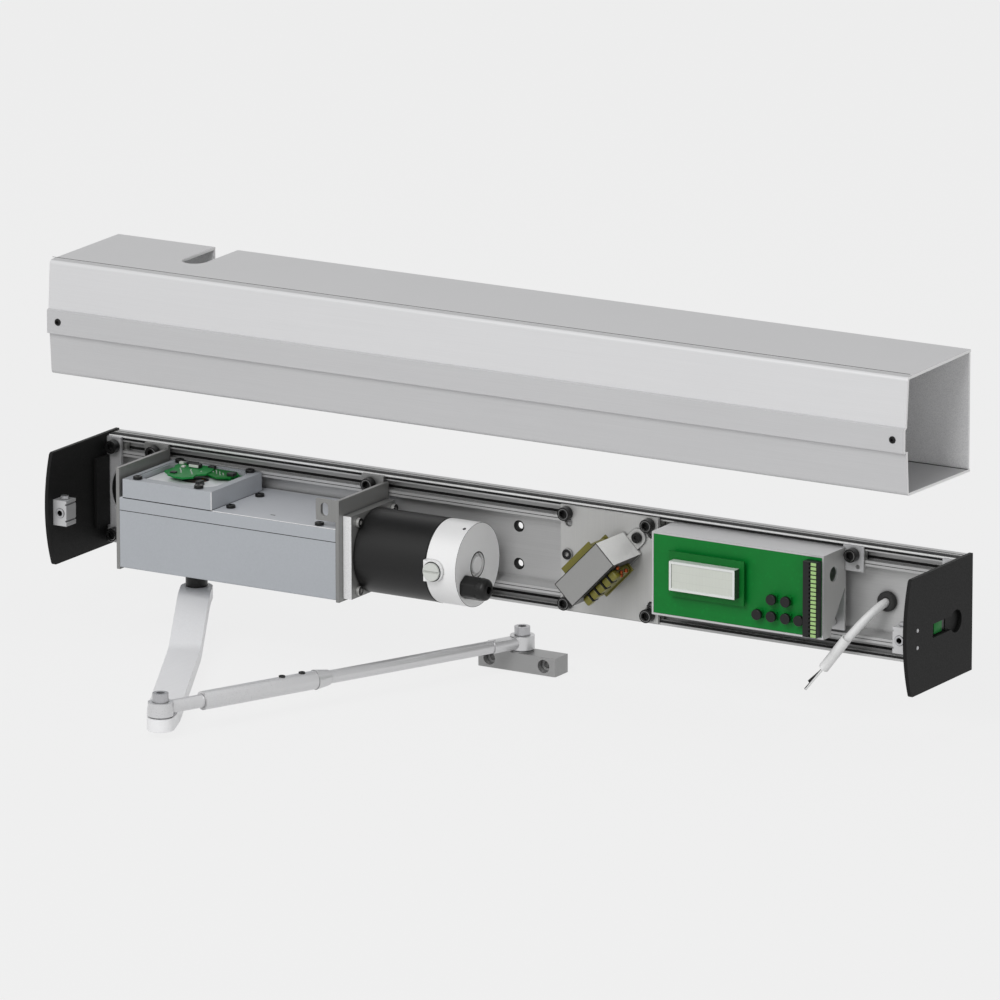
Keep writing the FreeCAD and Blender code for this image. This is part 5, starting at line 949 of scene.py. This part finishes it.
@dataclass
class Motor(Assembly):
    """Brushed direct current motor with its end bell and cable gland."""

    pieces: tuple[Piece, ...] = (
        Shell("motor_can", "black_can", MOTOR_BLACK, 0.6),
        Shell("motor_end_bell", "end_bell", BELL_WHITE, 0.6),
        Shell("brush_caps", "brush_screws", WHITE_PLASTIC),
        Shell("motor_gland", "cable_gland", BLACK_PLASTIC, 0.5),
        Shell("housing_screws", "small_screws", SCREW_BLACK, 0.25, extra=(
            (ZINC, lambda normal, at: at.x > -110.5 and abs(normal.x) < 0.5),)),
        Shell("motor_flange", "front_flange", PLATE_GREY, 0.5, extra=(
            (SHEET_GREY, lambda normal, at: normal.y < -0.8 and at.y < -70.0),)),
        Bare("motor_magnets", MAGNET),
        Bare("motor_rotor", COPPER),
    )
    axis: tuple[float, float] = (-45.0, -7.5)
    gland_middle: Point = (-7.6, -62.0, -20.5)
    rims: tuple[tuple[str, float, int, Outline], ...] = (
        ("bell_hole_rim", -22.0, 40, ((9.0, -0.4), (9.1, 0.12), (9.9, 0.12), (10.1, -0.4))),
        ("can_joint_line", -48.0, 72, ((31.2, -0.6), (31.7, -0.6), (31.7, 0.6), (31.2, 0.6))),
        ("bell_edge_line", -22.0, 72, ((31.15, -0.2), (31.2, 0.05), (31.45, 0.05), (31.5, -0.2))))

    def add_parts(self) -> None:
        """Build the rims round the motor's axis, the brush rims, a pin and the gland's grips."""
        for name, along, count, profile in self.rims:
            spot = Spot((along, *self.axis), RIGHT)
            self.repeater.set_out(name, lathe(profile, count, True), [spot], DARK_LINE_AND_SHADE)
        brush = lathe(((6.85, -1.5), (6.9, 0.1), (7.5, 0.1), (7.6, -1.5)), 32, True)
        y, z = self.axis
        sides = [Spot((-40.0, y + side * 34.6, z), (0.0, side, 0.0)) for side in (-1.0, 1.0)]
        self.repeater.set_out("brush_rims", brush, sides, DARK_LINE_AND_SHADE)
        pin = lathe(((1.3, -0.5), (1.3, 0.1), (0.9, 0.35)), 16)
        self.repeater.set_out("bell_pins", pin, [self.around((-26.0, *self.axis), 31.5, 112.0)], CHIP)
        grips = [self.around(self.gland_middle, 8.15, 15.0 + 30.0 * index) for index in range(12)]
        grip = brick((-1.5, -0.5, -0.5), (1.5, 0.5, 0.3), 0.2)
        self.repeater.set_out("gland_grips", grip, grips, BLACK_PLASTIC)

    def around(self, middle: Point, radius: float, angle_deg: float) -> Spot:
        """Return a spot on a circle across the motor's axis that faces away from the middle."""
        y, z = math.cos(math.radians(angle_deg)), math.sin(math.radians(angle_deg))
        return Spot((middle[0], middle[1] + radius * y, middle[2] + radius * z), (0.0, y, z))


@dataclass
class Transformer(Assembly):
    """Mains transformer on its plate, turned on the rail."""

    pieces: tuple[Piece, ...] = (
        Shell("transformer_plate", "core_plate", CORE_PLATE, 0.3),
        Shell("transformer_bobbin", "olive_former", OLIVE, 0.2),
        Shell("transformer_windings", "winding_block", OLIVE, 0.6),
        # The upper end takes the lighter lamination tone as painted light, the sides take painted shade.
        Shell("transformer_core", "laminated_core", CORE_FACE, 0.3, extra=(
            (CORE_EDGE_LIT, lambda normal, _: normal.x > 0.3 and normal.z > 0.3),
            (CORE_PAINTED_SHADE, lambda normal, _: normal.x * normal.z < -0.2))),
    )
    turn_deg: float = 45.5
    middle: tuple[float, float] = (77.5, 1.2)
    lobe_pitch: float = 7.4
    edge_strips: tuple[tuple[float, float, float, float], ...] = (
        (-24.9, -24.4, -10.6, 10.6), (24.4, 24.9, -10.6, 10.6),
        (-24.9, 24.9, 10.1, 10.6), (-24.9, 24.9, -10.6, -10.1))
    joints: tuple[Point, ...] = (
        (20.0, -49.0, 11.8), (19.2, -47.2, 15.6), (17.0, -46.5, 17.0), (22.0, -45.0, 16.8))

    def add_parts(self) -> None:
        """Build the clamp, the core's dark rim, the winding's lobes and the copper joints."""
        clamp = soften("transformer_clamp", "core_clamp", CORE_PLATE, 0.3)
        heads = ((39.5, 3.0), self.place(31.5, 0.0, 0.0)[::2])
        dress_faces(clamp, SCREW_BLACK, lambda _, at: at.y < -19.9 and min(
            math.hypot(at.x - x, at.z - z) for x, z in heads) < 4.4)
        for count, (left, right, low, high) in enumerate(self.edge_strips):
            rim = self.tilted(brick((left, -59.1, low), (right, -58.7, high), 0.0))
            rim.transform(Matrix.Translation((self.middle[0] * MM, 0.0, self.middle[1] * MM)))
            keep(rim, f"core_rim_{count}", DARK_LINE_AND_SHADE)
        # Painted shade in the gaps between the winding's lobes.
        gap = self.tilted(brick((-0.5, -3.45, -3.55), (0.5, 3.45, 3.55), 0.0))
        self.repeater.set_out("lobe_gaps", gap, self.row(4), DARK_LINE_AND_SHADE)
        lobe = self.tilted(brick((-3.3, -3.4, -3.5), (3.3, 3.4, 3.5), 1.6, 4))
        self.repeater.set_out("winding_lobes", lobe, self.row(5), OLIVE)
        bead = lathe(((0.8, -1.5), (1.5, -0.9), (1.6, 0.6), (0.9, 1.4)), 14)
        joints = [Spot(self.place(*joint), UP) for joint in self.joints]
        self.repeater.set_out("copper_joints", bead, joints, COPPER)

    def row(self, count: int) -> list[Spot]:
        """Return spots in a row along the winding."""
        steps = [index - (count - 1) / 2 for index in range(count)]
        return [Spot(self.place(step * self.lobe_pitch, -50.4, 14.3), UP, 180.0) for step in steps]

    def place(self, along: float, depth: float, down: float) -> Point:
        """Return a point given along the core, in depth and down across it, in millimetres."""
        turn = math.radians(self.turn_deg)
        return (self.middle[0] + along * math.cos(turn) + down * math.sin(turn), depth,
                self.middle[1] + along * math.sin(turn) - down * math.cos(turn))

    def tilted(self, mesh: Mesh) -> Mesh:
        """Turn a template as the core is turned and return it."""
        mesh.transform(Matrix.Rotation(math.radians(-self.turn_deg), 4, "Y"))
        return mesh


@dataclass
class ControlUnit(Assembly):
    """Tray with the control board, display, buttons and terminals."""

    pieces: tuple[Piece, ...] = (
        Shell("control_board", "main_board", BOARD, 0.1),
        Shell("display_board", "front_board", DARK_BOARD, 0.1),
        Shell("terminal_strip", "terminal_block", BLACK_PLASTIC, 0.3),
        # The tray's right side faces take the core plate's finish, painted light that sets their lightness
        # apart.
        Shell("control_tray", "folded_tray", BRIGHT_PLATE, 0.3, extra=(
            (CORE_PLATE, lambda normal, _: normal.x > 0.8),)),
        Shell("display_module", "display_frame", FRAME_GREY, 0.25, extra=(
            (DARK_GLASS, lambda normal, _: normal.x > 0.7),
            (DISPLAY_GLASS, lambda normal, at: normal.y < -0.9 and at.y > -59.2))),
    )
    button_count: int = 6
    poles: int = 18
    strip_low: float = -21.6
    strip_high: float = 34.8

    def add_parts(self) -> None:
        """Build the buttons and the keys of the terminals."""
        for number in range(1, self.button_count + 1):
            body = f"button_{number}"
            soften(body, f"push_{number}", BLACK_PLASTIC, 0.5, body, 3)
        pitch = (self.strip_high - self.strip_low) / self.poles
        keys = [Spot((266.9, -54.4, self.strip_low + pitch * (index + 0.5))) for index in range(self.poles)]
        key = brick((-2.2, -1.15, -0.4), (2.2, 1.15, 0.5), 0.25)
        self.repeater.set_out("terminal_keys", key, keys, PIN_GREEN)


@dataclass
class Arm(Assembly):
    """Main arm, forearm and door shoe."""

    pieces: tuple[Piece, ...] = (
        Shell("spindle_extension", "black_extension", BLACK_PLASTIC, 0.5, "spindle"),
        Shell("main_arm", "pressed_arm", ARM_STEEL, 0.8, "spindle"),
        Shell("arm_screw", "arm_bolt", SCREW_BLACK, 0.5, "spindle"),
        Shell("elbow_screw", "elbow_bolt", STEEL, 0.4, "spindle"),
        Shell("forearm_tube", "forearm_sleeve", ROD_STEEL, 0.5, "forearm_tube"),
        Shell("clamp_screws", "set_screws", SCREW_BLACK, 0.2, "forearm_tube"),
        Shell("forearm_rod", "sliding_rod", ROD_STEEL, 0.5, "forearm_rod"),
        Shell("door_shoe", "shoe_block", SHOE_STEEL, 0.6, "shoe"),
        Shell("shoe_screw", "shoe_bolt", STEEL, 0.4, "shoe"),
    )


@dataclass
class Cover(Assembly):
    """Formed cover that is shown lifted off."""

    pieces: tuple[Piece, ...] = (
        Shell("cover_back", "back_sheet", SHEET_GREY, 0.3, "cover_back"),
        long_line("cover_fold_line", (-89.9, 193.2), (-89.3, 193.36), DARK_LINE_AND_SHADE, 364.2, "cover"),
    )
    half_length: float = 364.2
    screw_place: Point = (354.8, -98.4, 146.0)

    def add_parts(self) -> None:
        """Build the cover, the dark lines at its lower edges and its two screws."""
        # The top and lower front faces take the darker silver as painted shade.
        cover = Shell("cover", "formed_cover", SILVER, 0.5, "cover", (
            (SILVER_SHADED, lambda normal, at: normal.z > 0.9 or (at.y < -90.0 and at.z < 154.4)),
            (CUT_EDGE_AND_HIGHLIGHT, lambda normal, _: normal.x > 0.8))).build()
        points = [vertex.co / MM for vertex in cover.data.vertices]
        low = min(point.z for point in points)
        lip = min(point.y for point in points if point.z < low + 0.7)
        for name, start, end in (("cover_low_line", (lip - 0.1, low + 0.05), (lip + 0.6, low + 0.55)),
                                 ("cover_floor_line", (-3.8, low + 1.9), (-2.2, low + 2.1))):
            long_line(name, start, end, DARK_LINE_AND_SHADE, self.half_length, "cover").build()
        head = loft([ring(2.6, -2.4), ring(2.6, -0.312), ring(2.34, 0.0), ring(1.344, 0.0),
                     ring(1.2, -0.26, sides=6), ring(1.2, -1.44, sides=6)])
        x, y, z = self.screw_place
        spots = [Spot((side * x, y, z)) for side in (-1.0, 1.0)]
        self.repeater.set_out("cover_screws", head, spots, SCREW_BLACK, "cover")


@dataclass
class MainsLead(Assembly):
    """Mains cable stub with its grommet, outer sleeve and bare cores."""

    route_mm: tuple[Point, ...] = ((300.5, -1.0, -0.6), (300.5, -31.0, -0.6), (262.5, -31.0, -50.0))
    radius_mm: float = 3.2
    length_mm: float = 83.0

    def add_parts(self) -> None:
        curve = bpy.data.curves.new("mains_lead", "CURVE")
        curve.dimensions = "3D"
        curve.bevel_depth = self.radius_mm * MM
        curve.bevel_resolution = 6
        curve.resolution_u = 24
        curve.use_fill_caps = True
        spline = curve.splines.new("NURBS")
        spline.points.add(len(self.route_mm) - 1)
        for point, place in zip(spline.points, self.route_mm):
            point.co = (*(Vector(place) * MM), 1.0)
        spline.order_u = 3
        spline.use_endpoint_u = True
        curve.materials.append(SHEATH.material())
        piece = linked("mains_lead", curve)
        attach(piece, "chassis")
        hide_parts("mains_cable")
        sleeve = soften("cable_sleeve", "outer_sleeve", SHEATH, 0.3)
        cores = soften("cable_cores", "bare_cores", BLACK_PLASTIC, 0.1)
        dress_faces(cores, SHEATH, lambda _, at: at.z > -62.5 and at.x - 0.8 * at.z > 302.0)
        soften("mains_grommet", "wall_grommet", RUBBER, 0.6, steps=3)


# Stage
@dataclass
class Studio:
    """Camera, lamps, floor and backdrop."""

    camera_at: Point = (3.8191, -6.3475, 1.9102)
    yaw_deg: float = 31.2312
    pitch_deg: float = 14.2075
    roll_deg: float = -0.0757
    lens_mm: float = 373.468
    floor_z: float = -0.0938
    floor_half: float = 14.0
    backdrop: Colour = field(default_factory=lambda: grey(0.944))

    def camera(self) -> None:
        """Make the camera at the photograph's angle."""
        data = bpy.data.cameras.new("camera")
        data.sensor_width = 36.0
        data.lens = self.lens_mm
        data.clip_start, data.clip_end = 0.1, 60.0
        camera = linked("camera", data)
        yaw, pitch = math.radians(self.yaw_deg), math.radians(self.pitch_deg)
        level = math.cos(pitch)
        forward = Vector((-math.sin(yaw) * level, math.cos(yaw) * level, -math.sin(pitch)))
        turn = forward.to_track_quat("-Z", "Y").to_matrix().to_4x4()
        roll = Matrix.Rotation(math.radians(self.roll_deg), 4, "Z")
        camera.matrix_world = Matrix.Translation(self.camera_at) @ turn @ roll
        bpy.context.scene.camera = camera

    def lamp(self, name: str, at: Sequence[float], aim: Sequence[float], size: float, power: float) -> None:
        """Add a square area lamp.

        Args:
            name: Name of the lamp.
            at: Place in metres.
            aim: Point that it faces.
            size: Side of the square in metres.
            power: Power in watts.
        """
        data = bpy.data.lights.new(name, "AREA")
        data.size = size
        data.energy = power
        turn = (Vector(aim) - Vector(at)).to_track_quat("-Z", "Y").to_matrix().to_4x4()
        linked(name, data).matrix_world = Matrix.Translation(at) @ turn

    def world(self) -> None:
        """Make the world pale for the camera and soft for the object."""
        world = bpy.data.worlds.new("pale_room")
        bpy.context.scene.world = world
        world.use_nodes = True
        tree = world.node_tree
        out, mix, seen, soft = fresh(tree, "OutputWorld", "MixShader", "Background", "Background")
        seen.inputs["Color"].default_value = self.backdrop
        soft.inputs["Color"].default_value = (1.0, 1.0, 1.0, 1.0)
        soft.inputs["Strength"].default_value = 0.42
        wire(tree, (self.plain_rays(tree), mix.inputs[0]), (soft.outputs[0], mix.inputs[1]),
             (seen.outputs[0], mix.inputs[2]), (mix.outputs[0], out.inputs[0]))

    def plain_rays(self, tree: NodeTree) -> NodeSocket:
        """Return a socket that is 1 for camera, glossy and transmission rays."""
        path, first, second = (tree.nodes.new("ShaderNode" + kind) for kind in ("LightPath", "Math", "Math"))
        first.operation = second.operation = "MAXIMUM"
        wire(tree, (path.outputs["Is Camera Ray"], first.inputs[0]),
             (path.outputs["Is Glossy Ray"], first.inputs[1]),
             (path.outputs["Is Transmission Ray"], second.inputs[1]), (first.outputs[0], second.inputs[0]))
        return second.outputs[0]

    def floor(self) -> None:
        """Make the floor, pale to the camera but holding a soft shadow."""
        material = bpy.data.materials.new("pale_floor")
        material.use_nodes = True
        tree = material.node_tree
        out, mix, share, matt, glow = fresh(
            tree, "OutputMaterial", "MixShader", "Math", "BsdfDiffuse", "Emission")
        share.operation = "MULTIPLY"
        share.inputs[1].default_value = 0.93
        matt.inputs["Color"].default_value = (0.86, 0.86, 0.86, 1.0)
        glow.inputs["Color"].default_value = self.backdrop
        wire(tree, (self.plain_rays(tree), share.inputs[0]), (share.outputs[0], mix.inputs[0]),
             (matt.outputs[0], mix.inputs[1]), (glow.outputs[0], mix.inputs[2]),
             (mix.outputs[0], out.inputs[0]))
        half = self.floor_half
        sides = ((-half, -half), (half, -half), (half, half), (-half, half))
        corners = [(x, y, self.floor_z) for x, y in sides]
        mesh = bpy.data.meshes.new("floor")
        mesh.from_pydata(corners, [], [(0, 1, 2, 3)])
        mesh.materials.append(material)
        floor = linked("floor", mesh)

    def build(self) -> None:
        """Make the whole stage."""
        bpy.context.scene.view_settings.view_transform = "Standard"
        self.camera()
        self.world()
        self.floor()
        self.lamp("key", (0.1, -3.5, 2.8), (0.0, -0.05, 0.05), 2.2, 82.0)
        self.lamp("fill", (3.4, -2.6, 1.2), (0.1, -0.05, 0.05), 2.4, 11.0)
        self.lamp("top", (0.4, -0.4, 3.2), (0.0, -0.05, 0.0), 2.4, 7.0)


def main() -> None:
    """Load the frame, build the stage and every sub-assembly."""
    logging.basicConfig(level=logging.INFO, format="%(message)s")
    random.seed(7)
    FRAME.update(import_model())
    Studio().build()
    repeater = Repeater()
    for group in (MainsLead, Rail, GearHousing, Motor, Transformer, ControlUnit, Arm, Cover):
        LOG.info("building %s", group.__name__)
        group(repeater).build()


if __name__ == "__main__":
    main()
